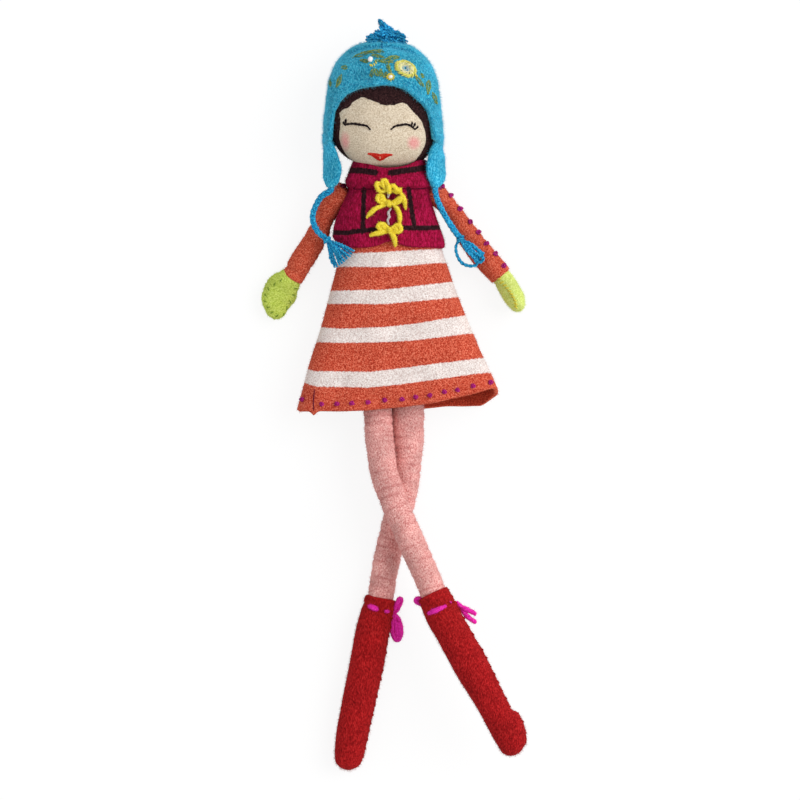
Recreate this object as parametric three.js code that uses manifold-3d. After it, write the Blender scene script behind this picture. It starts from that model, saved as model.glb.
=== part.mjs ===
// A knitted wool doll, 412 mm long, that lies on its back with its legs crossed.
// Millimetres. +Y runs from the feet to the head, +Z out of the face, and Z = 0 is the surface
// that the doll lies on. "Right" and "left" are the doll's own sides: its right side is at -X.
import * as THREE from 'three';
import { mergeVertices } from 'three/addons/utils/BufferGeometryUtils.js';
import Module from 'manifold-3d';

const wasm = await Module();
wasm.setup();

// Gaps between pieces
const FIT_GAP = 0.3; // sewn, worn or laid on one another
const JOINT_GAP = 0.45; // round a limb's root in its socket
const CROSS_GAP = 1.2; // between the crossed legs
const PRESSED_FLAT = 0.5; // depth that a resting piece loses to the surface

// Body
const SPINE_X = 2.6; // where the body's centre line crosses Y = 0
const SPINE_LEAN = 0.05; // sideways lean for each millimetre of height
const TORSO_TOP = 124;
const TORSO_LENGTH = 105;
const TORSO_DEPTH = 24;
const SHOULDER_WIDTH = 31.8;
const HIP_WIDTH = 52;
const WAIST_Y = 78; // where the body reaches its hip width and the skirt starts
const NECK_RADIUS = 8;
const NECK_LENGTH = 8; // above the pivot
const NECK_X = -4.5;

// Head and what it wears
const HEAD_X = -6;
const HEAD_WIDTH = 57;
const HEAD_DEPTH = 39;
const BROW_Y = 150; // height of the head's widest level
const CROWN_HEIGHT = 40.3; // from there to the top of the head
const JAW_HEIGHT = 24; // from there to the chin
const HAIR_WALL = 1.6;
const HAIR_BOTTOM = 132;
const HAIR_PARTING_WIDTH = 47.4; // width of the face between the hair's edges
const HAT_WALL = 2.2;
const HAT_BOTTOM = 138;
const HAT_EDGE_RISE = 9.5; // of the hat's front edge over the middle of the head
const HAT_ARCH_WIDTH = 61;
const HAT_ARCH_HEIGHT = 21.5; // of the brim's arch over the brow
const POMPOM_WIDTH = 24;
const POMPOM_HEIGHT = 12; // over the top of the hat
const FLAP_LENGTH = 22.7;
const FLAP_WIDTH = 9.4; // where it is widest, in front of the shoulder
const FLAP_ROOT_THICKNESS = 4.8;
const FLAP_ROOT_DEPTH = 19;
const FLAP_INSET = 0.1; // from the hat's side
const BEAD_RADIUS = 1.3;
const FLOWER_RADIUS = 4.2;
const FLOWER_YARN = 2.2;

// Braids and tassels
const BRAID_DIAMETER = 3.4;
const TASSEL_THICKNESS = 3.2;
const RIGHT_TASSEL_WIDTH = 12;
const LEFT_TASSEL_WIDTH = 11;

// Clothes
const DRESS_WALL = 2;
const NECKLINE_Y = 121;
const HEM_Y = -7;
const HEM_WIDTH = 108.4;
const HEM_RISE = 10; // of the front hem towards the doll's left
const SKIRT_DEPTH = 31.5;
const VEST_WALL = 2;
const VEST_TOP = 125;
const VEST_HEM = 82;
const VEST_SLIT = 1;
const BOW_YARN = 3;

// Arms
const SHOULDER_Y = 114.5;
const SHOULDER_SPAN = 47; // between the two pivots
const SHOULDER_Z = 15;
const ARM_LENGTH = 60;
const ARM_WIDTH = 14.8;
const WRIST_WIDTH = 12;
const WRIST_Z = 8;
const RIGHT_ARM_SPLAY = 30.6; // degrees from the body's length
const LEFT_ARM_SPLAY = 38.1;
const MITTEN_LENGTH = 26.5;
const MITTEN_WIDTH = 18.6;
const MITTEN_THICKNESS = 9;
const MITTEN_CUFF = 3; // overlap on the sleeve
const MITTEN_TURN = 11; // degrees back towards the body

// Legs
const HIP_DROP = 6; // of the hips' pivots below the torso
const HIP_SPACING = 19.8;
const HIP_X = 1.1; // middle between the hips
const BACK_HIP_Z = 12;
const FRONT_HIP_Z = 15.5;
const LEG_WIDTH = 14.8;
const THIGH_LENGTH = 55;
const SHIN_LENGTH = 73.5;
const CROSSING = 83; // from the hips to where the legs cross
const ANKLE_WIDTH = 11;
const ANKLE_DEPTH_IN_BOOT = 20;
const RIGHT_BOOT_LENGTH = 98.5;
const LEFT_BOOT_LENGTH = 94.5;
const BOOT_WIDTH = 17.6;
const BOOT_TOP_WIDTH = 16.4;
const TOE_BUMP = 5;
const LACE_YARN = 2;
const LACE_BELOW_TOP = 6;
const LONG_LACE_TAIL = 17;
const SHORT_LACE_TAIL = 8;

// Levels and centre lines that follow from these
const UP = new THREE.Vector3(0, 0, 1);
const TORSO_Z = TORSO_DEPTH / 2 + DRESS_WALL + VEST_WALL + 2 * FIT_GAP - PRESSED_FLAT;
const TORSO_BOTTOM = TORSO_TOP - TORSO_LENGTH;
const HIP_Y = TORSO_BOTTOM - HIP_DROP;
const HAIR_GROWTH = FIT_GAP + HAIR_WALL;
const HAT_GROWTH = HAIR_GROWTH + FIT_GAP + HAT_WALL;
const HEAD_Z = HEAD_DEPTH / 2 + HAT_GROWTH - PRESSED_FLAT;
const NECK_PIVOT_Y = TORSO_TOP - 1;
const BODY_SQUARENESS = 2.6; // superellipse exponent of the body's cross section
const SKIRT_SQUARENESS = 3;

const spineX = (y) => SPINE_X - SPINE_LEAN * y;
const mix = THREE.MathUtils.lerp;
const smooth = (value, from, to) => THREE.MathUtils.smoothstep(value, from, to);
const radians = THREE.MathUtils.degToRad;

// Solids and their joins and cuts

function solidOf(geometry) {
  const bare = geometry.clone();
  bare.deleteAttribute('normal');
  bare.deleteAttribute('uv');
  const merged = mergeVertices(bare, 1e-4);
  const vertProperties = merged.attributes.position.array;
  const triVerts = new Uint32Array(merged.index.array);
  return new wasm.Manifold(new wasm.Mesh({ numProp: 3, vertProperties, triVerts }));
}

function geometryOf(solid) {
  const { vertProperties, triVerts } = solid.getMesh();
  const geometry = new THREE.BufferGeometry();
  geometry.setAttribute('position', new THREE.BufferAttribute(vertProperties, 3));
  geometry.setIndex(new THREE.BufferAttribute(triVerts, 1));
  const flat = geometry.toNonIndexed();
  flat.computeVertexNormals();
  return flat;
}

// A closed skin over rings of points, with a point at each end.
function skin(rings, firstPole, lastPole) {
  const count = rings[0].length;
  const points = [...rings.flat(), firstPole, lastPole];
  const first = points.length - 2;
  const last = points.length - 1;
  const triangles = [];
  for (let i = 0; i < count; i++) {
    const j = (i + 1) % count;
    triangles.push(first, j, i);
    for (let r = 0; r < rings.length - 1; r++) {
      const low = r * count;
      const high = low + count;
      triangles.push(low + i, low + j, high + j, low + i, high + j, high + i);
    }
    const top = (rings.length - 1) * count;
    triangles.push(last, top + i, top + j);
  }
  const geometry = new THREE.BufferGeometry().setFromPoints(points);
  geometry.setIndex(triangles);
  const solid = solidOf(geometry);
  if (solid.volume() > 0) return solid;
  for (let t = 0; t < triangles.length; t += 3) {
    [triangles[t + 1], triangles[t + 2]] = [triangles[t + 2], triangles[t + 1]];
  }
  geometry.setIndex(triangles);
  return solidOf(geometry);
}

// A superellipse round a centre, in the plane of two directions.
function ring(centre, side, up, halfWidth, halfDepth, squareness, sides) {
  const bulge = (value) => Math.sign(value) * Math.abs(value) ** (2 / squareness);
  return Array.from({ length: sides }, (_, i) => {
    const angle = ((i + 0.5) / sides) * 2 * Math.PI;
    return centre
      .clone()
      .addScaledVector(side, halfWidth * bulge(Math.cos(angle)))
      .addScaledVector(up, halfDepth * bulge(Math.sin(angle)));
  });
}

// A form stacked along Y from rows of { x, y, z, halfWidth, halfDepth, squareness }.
function stacked(rows, sides, bend = (point) => point) {
  const side = new THREE.Vector3(1, 0, 0);
  const centres = rows.map((row) => new THREE.Vector3(row.x, row.y, row.z));
  const rings = rows.map((row, i) =>
    ring(centres[i], side, UP, row.halfWidth, row.halfDepth, row.squareness, sides).map(bend),
  );
  return skin(rings, bend(centres[0]), bend(centres[rows.length - 1]));
}

// A stuffed limb along a curve: half widths and depths run evenly along it, ends are domes.
function limb({ points, halfWidths, halfDepths, rootDome, tipDome }, growth, sides, steps) {
  const curve = new THREE.CatmullRomCurve3(points);
  const along = (values, share) => {
    const place = share * (values.length - 1);
    const i = Math.min(Math.floor(place), values.length - 2);
    return mix(values[i], values[i + 1], place - i) + growth;
  };
  const ringAt = (share, shift, scale) => {
    const tangent = curve.getTangent(share);
    const side = new THREE.Vector3().crossVectors(tangent, UP).normalize();
    const up = new THREE.Vector3().crossVectors(side, tangent);
    const centre = curve.getPoint(share).addScaledVector(tangent, shift);
    const halfWidth = along(halfWidths, share) * scale;
    return ring(centre, side, up, halfWidth, along(halfDepths, share) * scale, 2, sides);
  };
  const domeSteps = 3;
  const rootLength = rootDome + growth;
  const tipLength = tipDome + growth;
  const rings = [];
  for (let k = domeSteps - 1; k > 0; k--) {
    const angle = (k / domeSteps) * (Math.PI / 2);
    rings.push(ringAt(0, -rootLength * Math.sin(angle), Math.cos(angle)));
  }
  for (let i = 0; i <= steps; i++) rings.push(ringAt(i / steps, 0, 1));
  for (let k = 1; k < domeSteps; k++) {
    const angle = (k / domeSteps) * (Math.PI / 2);
    rings.push(ringAt(1, tipLength * Math.sin(angle), Math.cos(angle)));
  }
  const rootPole = curve.getPoint(0).addScaledVector(curve.getTangent(0), -rootLength);
  const tipPole = curve.getPoint(1).addScaledVector(curve.getTangent(1), tipLength);
  return skin(rings, rootPole, tipPole);
}

function prism(shape, low, high) {
  const geometry = new THREE.ExtrudeGeometry(shape, { depth: high - low, bevelEnabled: false });
  return solidOf(geometry.translate(0, 0, low));
}

function block(low, high) {
  const size = new THREE.Vector3().subVectors(high, low);
  const middle = new THREE.Vector3().addVectors(low, high).multiplyScalar(0.5);
  const geometry = new THREE.BoxGeometry(size.x, size.y, size.z);
  return solidOf(geometry.translate(middle.x, middle.y, middle.z));
}

const FAR = 600; // larger than the doll
const UNDER_SURFACE = block(new THREE.Vector3(-FAR, -FAR, -FAR), new THREE.Vector3(FAR, FAR, 0));
const pressed = (solid) => solid.subtract(UNDER_SURFACE);

const aboveY = (y) => block(new THREE.Vector3(-FAR, y, -FAR), new THREE.Vector3(FAR, FAR, FAR));
const belowY = (y) => block(new THREE.Vector3(-FAR, -FAR, -FAR), new THREE.Vector3(FAR, y, FAR));

// Round yarn along a smooth curve
const BRAID_SIDES = 8;
const BRAID_STEPS = 14;
const YARN_SIDES = 6;

function yarn(points, diameter, steps, sides = YARN_SIDES) {
  const section = new THREE.Shape();
  for (let i = 0; i < sides; i++) {
    const angle = (i / sides) * 2 * Math.PI;
    const x = (diameter / 2) * Math.cos(angle);
    const y = (diameter / 2) * Math.sin(angle);
    if (i === 0) section.moveTo(x, y);
    else section.lineTo(x, y);
  }
  const extrudePath = new THREE.CatmullRomCurve3(points);
  return solidOf(new THREE.ExtrudeGeometry(section, { steps, extrudePath, bevelEnabled: false }));
}

const joined = (solids) => solids.reduce((whole, solid) => whole.add(solid));

// Directions and points in the plane of the surface. A heading of 0 points to the feet,
// and a positive one turns to the doll's left.
const heading = (degrees) => new THREE.Vector3(Math.sin(radians(degrees)), -Math.cos(radians(degrees)), 0);
const step = (from, degrees, length, rise) =>
  from.clone().addScaledVector(heading(degrees), length).add(new THREE.Vector3(0, 0, rise));

// Sides of the torso and of the clothes over it
const BODY_SIDES = 24;

// Torso: a stuffed sack, widening from the shoulders to the hips

function bodyHalfWidth(y) {
  const share = THREE.MathUtils.clamp((TORSO_TOP - y) / (TORSO_TOP - WAIST_Y), 0, 1);
  return mix(SHOULDER_WIDTH, HIP_WIDTH, share ** 1.5) / 2;
}

// The torso and its clothes share these levels, so that their walls run side by side.
const BODICE_LEVELS = [0, 0.2, 0.4, 0.6, 0.8, 1].map((share) => mix(VEST_HEM, VEST_TOP, share));

function levels(bottom, top, shares) {
  const own = shares.map((share) => mix(bottom, top, share));
  const shared = BODICE_LEVELS.filter((y) => y > bottom + 1 && y < top - 1);
  return [...own, ...shared].sort((low, high) => low - high);
}

function torsoRows() {
  const endSquareness = 7;
  return levels(TORSO_BOTTOM, TORSO_TOP, [0.003, 0.025, 0.07, 0.15, 0.3, 0.45, 0.97, 0.997]).map((y) => {
    const across = (2 * (y - TORSO_BOTTOM)) / TORSO_LENGTH - 1;
    const cap = (1 - Math.abs(across) ** endSquareness) ** (1 / endSquareness);
    const halfWidth = bodyHalfWidth(y) * cap;
    const halfDepth = (TORSO_DEPTH / 2) * cap;
    return { x: spineX(y), y, z: TORSO_Z, halfWidth, halfDepth, squareness: BODY_SQUARENESS };
  });
}

// Neck: a stuffed tube with a round end in the torso, its upper end in the head

function neckSolid(growth) {
  const radius = NECK_RADIUS + growth;
  const top = NECK_LENGTH + growth;
  const profile = [new THREE.Vector2(0, top), new THREE.Vector2(radius, top)];
  const arcSteps = 4;
  for (let i = 0; i <= arcSteps; i++) {
    const angle = (i / arcSteps) * (Math.PI / 2);
    profile.push(new THREE.Vector2(radius * Math.cos(angle), -radius * Math.sin(angle)));
  }
  profile[profile.length - 1].x = 0;
  const geometry = new THREE.LatheGeometry(profile.reverse(), 16);
  return solidOf(geometry.translate(NECK_X, NECK_PIVOT_Y, TORSO_Z));
}

// Head and the layers over it: the same form, grown by each layer's gap and wall

const CROWN_SQUARENESS = 2.4;
const JAW_SQUARENESS = 2.2;

function headRow(y, growth, straightJaw = false) {
  const above = y > BROW_Y;
  const reach = (above ? CROWN_HEIGHT : JAW_HEIGHT) + growth;
  const squareness = above ? CROWN_SQUARENESS : JAW_SQUARENESS;
  const share = Math.min(Math.abs(y - BROW_Y) / reach, 1);
  const scale = straightJaw && !above ? 1 : (1 - share ** squareness) ** (1 / squareness);
  return {
    x: HEAD_X,
    y,
    z: HEAD_Z,
    halfWidth: (HEAD_WIDTH / 2 + growth) * scale,
    halfDepth: (HEAD_DEPTH / 2 + growth) * scale,
    squareness: 2,
  };
}

const HEAD_SIDES = 24;
const LEVELS = 6;

function headForm(growth) {
  const rows = [];
  for (let i = 1; i < 2 * LEVELS; i++) {
    const angle = ((i - LEVELS) / LEVELS) * (Math.PI / 2);
    const reach = (angle > 0 ? CROWN_HEIGHT : JAW_HEIGHT) + growth;
    rows.push(headRow(BROW_Y + reach * Math.sin(angle), growth));
  }
  return stacked(rows, HEAD_SIDES);
}

// The hat's form hangs straight down from the brow level to a bottom edge.
function bonnetForm(growth, bottom) {
  const rows = [headRow(bottom, growth, true)];
  for (let i = 0; i < LEVELS; i++) {
    const angle = (i / LEVELS) * (Math.PI / 2);
    const y = BROW_Y + (CROWN_HEIGHT + growth) * Math.sin(angle);
    rows.push(headRow(y, growth, true));
  }
  return stacked(rows, HEAD_SIDES);
}

// Height of the hat's front over a place on it, and the direction that its surface faces.
function hatFront(x, y, lift) {
  const height = (u, v) => {
    const row = headRow(v, HAT_GROWTH, true);
    const share = Math.min(Math.abs(u - row.x) / row.halfWidth, 1);
    return row.z + row.halfDepth * Math.sqrt(1 - share ** 2);
  };
  const reach = 0.5;
  const slopeX = (height(x + reach, y) - height(x - reach, y)) / (2 * reach);
  const slopeY = (height(x, y + reach) - height(x, y - reach)) / (2 * reach);
  const normal = new THREE.Vector3(-slopeX, -slopeY, 1).normalize();
  const point = new THREE.Vector3(x, y, height(x, y)).addScaledVector(normal, lift);
  return { point, normal };
}

// Hairline: two round lobes with a peak between them, then straight down beside the face.
function faceOpening() {
  const half = HAIR_PARTING_WIDTH / 2;
  const shape = new THREE.Shape();
  shape.moveTo(HEAD_X - half, BROW_Y - FAR / 4);
  shape.lineTo(HEAD_X - half, BROW_Y + 3);
  shape.quadraticCurveTo(HEAD_X - half * 0.9, BROW_Y + 9, HEAD_X - half * 0.5, BROW_Y + 13);
  shape.quadraticCurveTo(HEAD_X - half * 0.2, BROW_Y + 13, HEAD_X + half * 0.1, BROW_Y + 9);
  shape.quadraticCurveTo(HEAD_X + half * 0.35, BROW_Y + 12, HEAD_X + half * 0.55, BROW_Y + 9);
  shape.quadraticCurveTo(HEAD_X + half * 0.95, BROW_Y + 3, HEAD_X + half, BROW_Y - 4);
  shape.lineTo(HEAD_X + half, BROW_Y - FAR / 4);
  return shape;
}

function hairSolid() {
  const shell = headForm(HAIR_GROWTH).subtract(headForm(FIT_GAP)).subtract(belowY(HAIR_BOTTOM));
  const opening = prism(faceOpening(), HEAD_Z + HAT_EDGE_RISE / 2, FAR);
  return shell.subtract(opening);
}

// The hat is open under the arch of its brim, down to its front edges beside the face.
function brimOpening() {
  const shape = new THREE.Shape();
  const half = HAT_ARCH_WIDTH / 2;
  const past = HEAD_WIDTH / 2 + HAT_GROWTH + 10;
  shape.moveTo(HEAD_X - past, HAT_BOTTOM - 10);
  shape.lineTo(HEAD_X + past, HAT_BOTTOM - 10);
  shape.lineTo(HEAD_X + past, BROW_Y - 2);
  shape.lineTo(HEAD_X + half, BROW_Y - 2);
  shape.absellipse(HEAD_X, BROW_Y - 2, half, HAT_ARCH_HEIGHT, 0, Math.PI, false);
  shape.lineTo(HEAD_X - past, BROW_Y - 2);
  return shape;
}

function hatSolid() {
  const inside = bonnetForm(HAT_GROWTH - HAT_WALL, HAT_BOTTOM - 5);
  const shell = bonnetForm(HAT_GROWTH, HAT_BOTTOM).subtract(inside);
  return pressed(shell.subtract(prism(brimOpening(), HEAD_Z + HAT_EDGE_RISE, FAR)));
}

const POMPOM_SIDES = 16;

function pompomSolid() {
  const top = BROW_Y + CROWN_HEIGHT + HAT_GROWTH;
  const half = POMPOM_WIDTH / 2;
  const row = (rise, scale, shift) => ({
    x: HEAD_X + 1.6 + shift * half,
    y: top + rise * POMPOM_HEIGHT,
    z: HEAD_Z,
    halfWidth: half * scale,
    halfDepth: half * scale * 0.9,
    squareness: 2,
  });
  const rows = [
    row(-0.4, 0.9, 0),
    row(0.1, 1, 0),
    row(0.4, 0.85, 0),
    row(0.6, 0.5, -0.1),
    row(0.8, 0.26, -0.35),
    row(1, 0.1, -0.55),
  ];
  return stacked(rows, POMPOM_SIDES).subtract(bonnetForm(HAT_GROWTH + FIT_GAP, HAT_BOTTOM));
}

function onHat(solid, x, y, lift) {
  const { point, normal } = hatFront(x, y, lift);
  const turn = new THREE.Quaternion().setFromUnitVectors(UP, normal);
  const geometry = geometryOf(solid).applyQuaternion(turn).translate(point.x, point.y, point.z);
  return solidOf(geometry);
}

function flowerSolid() {
  const petals = new THREE.TorusGeometry(FLOWER_RADIUS, FLOWER_YARN / 2, 6, 16);
  const place = { x: HEAD_X + 0.21 * HEAD_WIDTH, y: BROW_Y + 0.74 * CROWN_HEIGHT };
  return onHat(solidOf(petals), place.x, place.y, FLOWER_YARN / 2 + FIT_GAP);
}

function beadSolid(acrossShare, upShare) {
  const bead = solidOf(new THREE.SphereGeometry(BEAD_RADIUS, 10, 6));
  const x = HEAD_X + acrossShare * HEAD_WIDTH;
  const y = BROW_Y + upShare * CROWN_HEIGHT;
  return onHat(bead, x, y, BEAD_RADIUS + FIT_GAP);
}

// Earflap: a tongue of the hat's knit that hangs from the lower edge of the hat's side, edge on,
// then turns its face to the front and narrows to the braid
const FLAP_SIDES = 14;
const FLAP_STEPS = 7;

function flapSpec(side) {
  const outer = HEAD_WIDTH / 2 + HAT_GROWTH - FLAP_INSET;
  const at = (inwards, share, rise) => {
    const x = HEAD_X + side * (outer - inwards);
    return new THREE.Vector3(x, HAT_BOTTOM - FIT_GAP - share * FLAP_LENGTH, HEAD_Z + rise);
  };
  const rootHalf = FLAP_ROOT_THICKNESS / 2;
  const half = FLAP_WIDTH / 2;
  return {
    points: [at(rootHalf, 0, -1), at(half - 1, 0.35, 0.5), at(half - 0.6, 0.7, 2.4), at(half - 0.4, 1, 3.4)],
    halfWidths: [rootHalf, half * 0.9, half, BRAID_DIAMETER * 0.52],
    halfDepths: [FLAP_ROOT_DEPTH / 2, FLAP_ROOT_DEPTH * 0.34, FLAP_ROOT_DEPTH * 0.18, BRAID_DIAMETER * 0.5],
    rootDome: 0.6,
    tipDome: 0.4,
  };
}

function flapSolid(side) {
  const flap = limb(flapSpec(side), 0, FLAP_SIDES, FLAP_STEPS);
  return flap.subtract(aboveY(HAT_BOTTOM - FIT_GAP));
}

// Braids lie on the arms, clear of them, and end in tassels. The routes start at the flaps' tips.
const RIGHT_BRAID_ROUTE = [
  [-34.6, 113.7, 26.7],
  [-35.1, 112, 26.4],
  [-40.2, 108.6, 24.8],
  [-44.2, 101, 23.2],
  [-44.4, 95, 22.3],
  [-41.8, 89.7, 22.4],
  [-37.4, 86, 23.6],
];
const LEFT_BRAID_ROUTE = [
  [22.5, 113.9, 26.7],
  [22.7, 111.6, 26.2],
  [24, 106.6, 25.2],
  [27.4, 99.6, 23.8],
  [31.8, 92.4, 22.8],
  [36, 86.6, 22],
];
// Each tassel opens out from its braid's end.
const RIGHT_TASSEL_ROUTE = [
  [-36.7, 85.6, 24],
  [-33, 80.5, 28.6],
  [-29.6, 74.4, 30],
];
const LEFT_TASSEL_ROUTE = [
  [36.5, 85.9, 21.9],
  [40.5, 79.5, 21.2],
  [43.4, 73, 20.2],
];
const route = (points) => points.map((point) => new THREE.Vector3(...point));

const braidSolid = (points) => yarn(route(points), BRAID_DIAMETER, BRAID_STEPS, BRAID_SIDES);

function tasselSolid(points, tipWidth) {
  const start = BRAID_DIAMETER / 2;
  const spec = {
    points: route(points),
    halfWidths: [start, tipWidth * 0.35, tipWidth / 2],
    halfDepths: [start, TASSEL_THICKNESS / 2, TASSEL_THICKNESS / 2],
    rootDome: 0,
    tipDome: 1.6,
  };
  return limb(spec, 0, 12, 5);
}

// Arms and mittens

function armSpec(side, splay) {
  const root = new THREE.Vector3(spineX(SHOULDER_Y) + (side * SHOULDER_SPAN) / 2, SHOULDER_Y, SHOULDER_Z);
  const wrist = step(root, side * splay, ARM_LENGTH, WRIST_Z - SHOULDER_Z);
  const middle = new THREE.Vector3().addVectors(root, wrist).multiplyScalar(0.5);
  const widths = [ARM_WIDTH / 2, ARM_WIDTH * 0.485, WRIST_WIDTH / 2];
  return {
    points: [root, middle, wrist],
    halfWidths: widths,
    halfDepths: widths,
    rootDome: ARM_WIDTH / 2,
    tipDome: 2,
  };
}

const ARMS = {
  right: armSpec(-1, RIGHT_ARM_SPLAY),
  left: armSpec(1, LEFT_ARM_SPLAY),
};
const ARM_SIDES = 16;
const ARM_STEPS = 5;
const MITTEN_STEPS = 7;
const armSolid = (spec, growth) => limb(spec, growth, ARM_SIDES, ARM_STEPS);

// The right mitten lies flat, the left one stands on its edge.
function mittenSolid(arm, direction, width, thickness, restsOnSurface) {
  const wrist = arm.points[2];
  const slope = restsOnSurface - wrist.z;
  const at = (share) => step(wrist, direction, share * MITTEN_LENGTH - MITTEN_CUFF, slope * Math.min(share * 1.6, 1));
  const spec = {
    points: [at(0), at(0.3), at(0.6), at(0.84)],
    halfWidths: [WRIST_WIDTH * 0.42, width * 0.42, width / 2, width * 0.38],
    halfDepths: [WRIST_WIDTH * 0.42, thickness * 0.48, thickness / 2, thickness * 0.4],
    rootDome: 0.4,
    tipDome: MITTEN_LENGTH * 0.16,
  };
  return pressed(limb(spec, 0, ARM_SIDES, MITTEN_STEPS).subtract(armSolid(arm, FIT_GAP)));
}

// Legs and boots: the right leg lies over the left one, and rises from its hip to clear it

function legPoints(hip, headings, slope) {
  const knee = step(hip, headings.thigh, THIGH_LENGTH, slope * THIGH_LENGTH);
  const ankle = step(knee, headings.shin, SHIN_LENGTH, slope * SHIN_LENGTH);
  const end = step(ankle, headings.boot, ANKLE_DEPTH_IN_BOOT, slope * ANKLE_DEPTH_IN_BOOT);
  return { hip, knee, ankle, end, slope };
}

function legSpec({ hip, knee, ankle, end }) {
  const thigh = new THREE.Vector3().addVectors(hip, knee).multiplyScalar(0.5);
  const shin = new THREE.Vector3().addVectors(knee, ankle).multiplyScalar(0.5);
  const half = LEG_WIDTH / 2;
  const widths = [half, half, half, half * 0.98, half * 0.94, ANKLE_WIDTH / 2];
  return {
    points: [hip, thigh, knee, shin, ankle, end],
    halfWidths: widths,
    halfDepths: widths,
    rootDome: half,
    tipDome: 3,
  };
}

// The boot's shaft, then a foot whose toe stands out to one side of the shaft.
function bootSpec({ ankle, slope }, direction, length, toe) {
  const at = (share, out) => {
    const point = step(ankle, direction, share * length, slope * share * length);
    return point.addScaledVector(heading(direction + 90), toe.side * out).addScaledVector(UP, toe.up * out);
  };
  const half = BOOT_WIDTH / 2;
  return {
    points: [at(0, 0), at(0.3, 0), at(0.6, 0), at(0.76, TOE_BUMP * 0.3), at(0.9, TOE_BUMP * 0.55)],
    halfWidths: [BOOT_TOP_WIDTH / 2, half, half, half + TOE_BUMP * toe.side * 0.25, half],
    halfDepths: [BOOT_TOP_WIDTH / 2, half, half, half + TOE_BUMP * toe.up * 0.25, half],
    rootDome: 0.8,
    tipDome: length * 0.1,
  };
}

const LEG_SIDES = 16;
const LEG_STEPS = 9;
const BOOT_STEPS = 8;
const legSolid = (spec, growth) => limb(spec, growth, LEG_SIDES, LEG_STEPS);
const bootForm = (spec, growth) => limb(spec, growth, LEG_SIDES, BOOT_STEPS);
const bootSolid = (boot, leg) => pressed(bootForm(boot, 0).subtract(legSolid(leg, FIT_GAP)));

const LEFT_HEADINGS = { thigh: -4, shin: -11.8, boot: -11.4 };
const RIGHT_HEADINGS = { thigh: 3.4, shin: 22, boot: 25.4 };

const bootRestZ = BOOT_WIDTH / 2 - PRESSED_FLAT;
const leftSlope = (bootRestZ - BACK_HIP_Z) / (THIGH_LENGTH + SHIN_LENGTH);
const leftLeg = legPoints(
  new THREE.Vector3(HIP_X + HIP_SPACING / 2, HIP_Y, BACK_HIP_Z),
  LEFT_HEADINGS,
  leftSlope,
);
const crossingZ = BACK_HIP_Z + leftSlope * CROSSING + LEG_WIDTH + CROSS_GAP;
const rightLeg = legPoints(
  new THREE.Vector3(HIP_X - HIP_SPACING / 2, HIP_Y, FRONT_HIP_Z),
  RIGHT_HEADINGS,
  (crossingZ - FRONT_HIP_Z) / CROSSING,
);
leftLeg.slope = 0; // the left boot lies along the surface

const LEGS = { right: legSpec(rightLeg), left: legSpec(leftLeg) };
const BOOTS = {
  right: bootSpec(rightLeg, RIGHT_HEADINGS.boot, RIGHT_BOOT_LENGTH, { side: 1, up: 0 }),
  left: bootSpec(leftLeg, LEFT_HEADINGS.boot, LEFT_BOOT_LENGTH, { side: -0.3, up: 0.8 }),
};

// A lace lies round the boot under its top edge, with tails on one side.
function laceSolid(boot, direction, side) {
  const [top, below] = boot.points;
  const share = LACE_BELOW_TOP / top.distanceTo(below);
  const start = top.clone().lerp(below, share);
  const end = start.clone().add(heading(direction).multiplyScalar(LACE_YARN));
  const half = mix(boot.halfWidths[0], boot.halfWidths[1], share);
  const spec = {
    points: [start, end],
    halfWidths: [half, half],
    halfDepths: [half, half],
    rootDome: 0,
    tipDome: 0,
  };
  const band = limb(spec, FIT_GAP + LACE_YARN * 0.8, LEG_SIDES, 1);
  const out = heading(direction + 90).multiplyScalar(side);
  const from = start.clone().addScaledVector(out, half + FIT_GAP + LACE_YARN * 0.6);
  const tail = (turn, length) => {
    const outwards = heading(direction + side * turn).multiplyScalar(length);
    return yarn([from, from.clone().addScaledVector(outwards, 0.5), from.clone().add(outwards)], LACE_YARN, 3);
  };
  return pressed(joined([band, tail(20, LONG_LACE_TAIL), tail(75, SHORT_LACE_TAIL)]).subtract(bootForm(boot, FIT_GAP)));
}

// Dress: fitted over the torso, then a flared skirt, open at the neck and at the hem

function dressRow(y, wall) {
  const inset = DRESS_WALL - wall;
  const share = THREE.MathUtils.clamp((WAIST_Y - y) / (WAIST_Y - HEM_Y), 0, 1);
  const waist = bodyHalfWidth(y) + FIT_GAP + wall;
  const bodice = TORSO_DEPTH / 2 + FIT_GAP + wall;
  const spread = smooth(VEST_HEM - y, 1, 14);
  const back = mix(TORSO_Z - bodice, inset - PRESSED_FLAT, spread);
  const front = mix(TORSO_Z + bodice, SKIRT_DEPTH - inset - PRESSED_FLAT, spread);
  return {
    x: spineX(y),
    y,
    z: (back + front) / 2,
    halfWidth: mix(waist, HEM_WIDTH / 2 - inset, share),
    halfDepth: (front - back) / 2,
    squareness: mix(BODY_SQUARENESS, SKIRT_SQUARENESS, share),
  };
}

// The front of the hem rises towards the doll's left.
function hemRise(point) {
  const low = smooth(WAIST_Y - point.y, 20, WAIST_Y - HEM_Y);
  const left = smooth(point.x, -HEM_WIDTH / 8, HEM_WIDTH / 2);
  const front = smooth(point.z, 0, SKIRT_DEPTH);
  return point.setY(point.y + HEM_RISE * low * left * front);
}

function dressSolid() {
  const heights = levels(HEM_Y, NECKLINE_Y, [0, 0.07, 0.16, 0.28, 0.42, 0.54, 0.6, 0.65, 1]);
  const outside = heights.map((y) => dressRow(y, DRESS_WALL));
  const inside = heights.map((y) => dressRow(y, 0));
  const past = 5;
  inside.unshift({ ...inside[0], y: HEM_Y - past });
  inside.push({ ...inside[inside.length - 1], y: NECKLINE_Y + past });
  return pressed(stacked(outside, BODY_SIDES, hemRise).subtract(stacked(inside, BODY_SIDES, hemRise)));
}

// Vest: worn over the dress, open down the front

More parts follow.
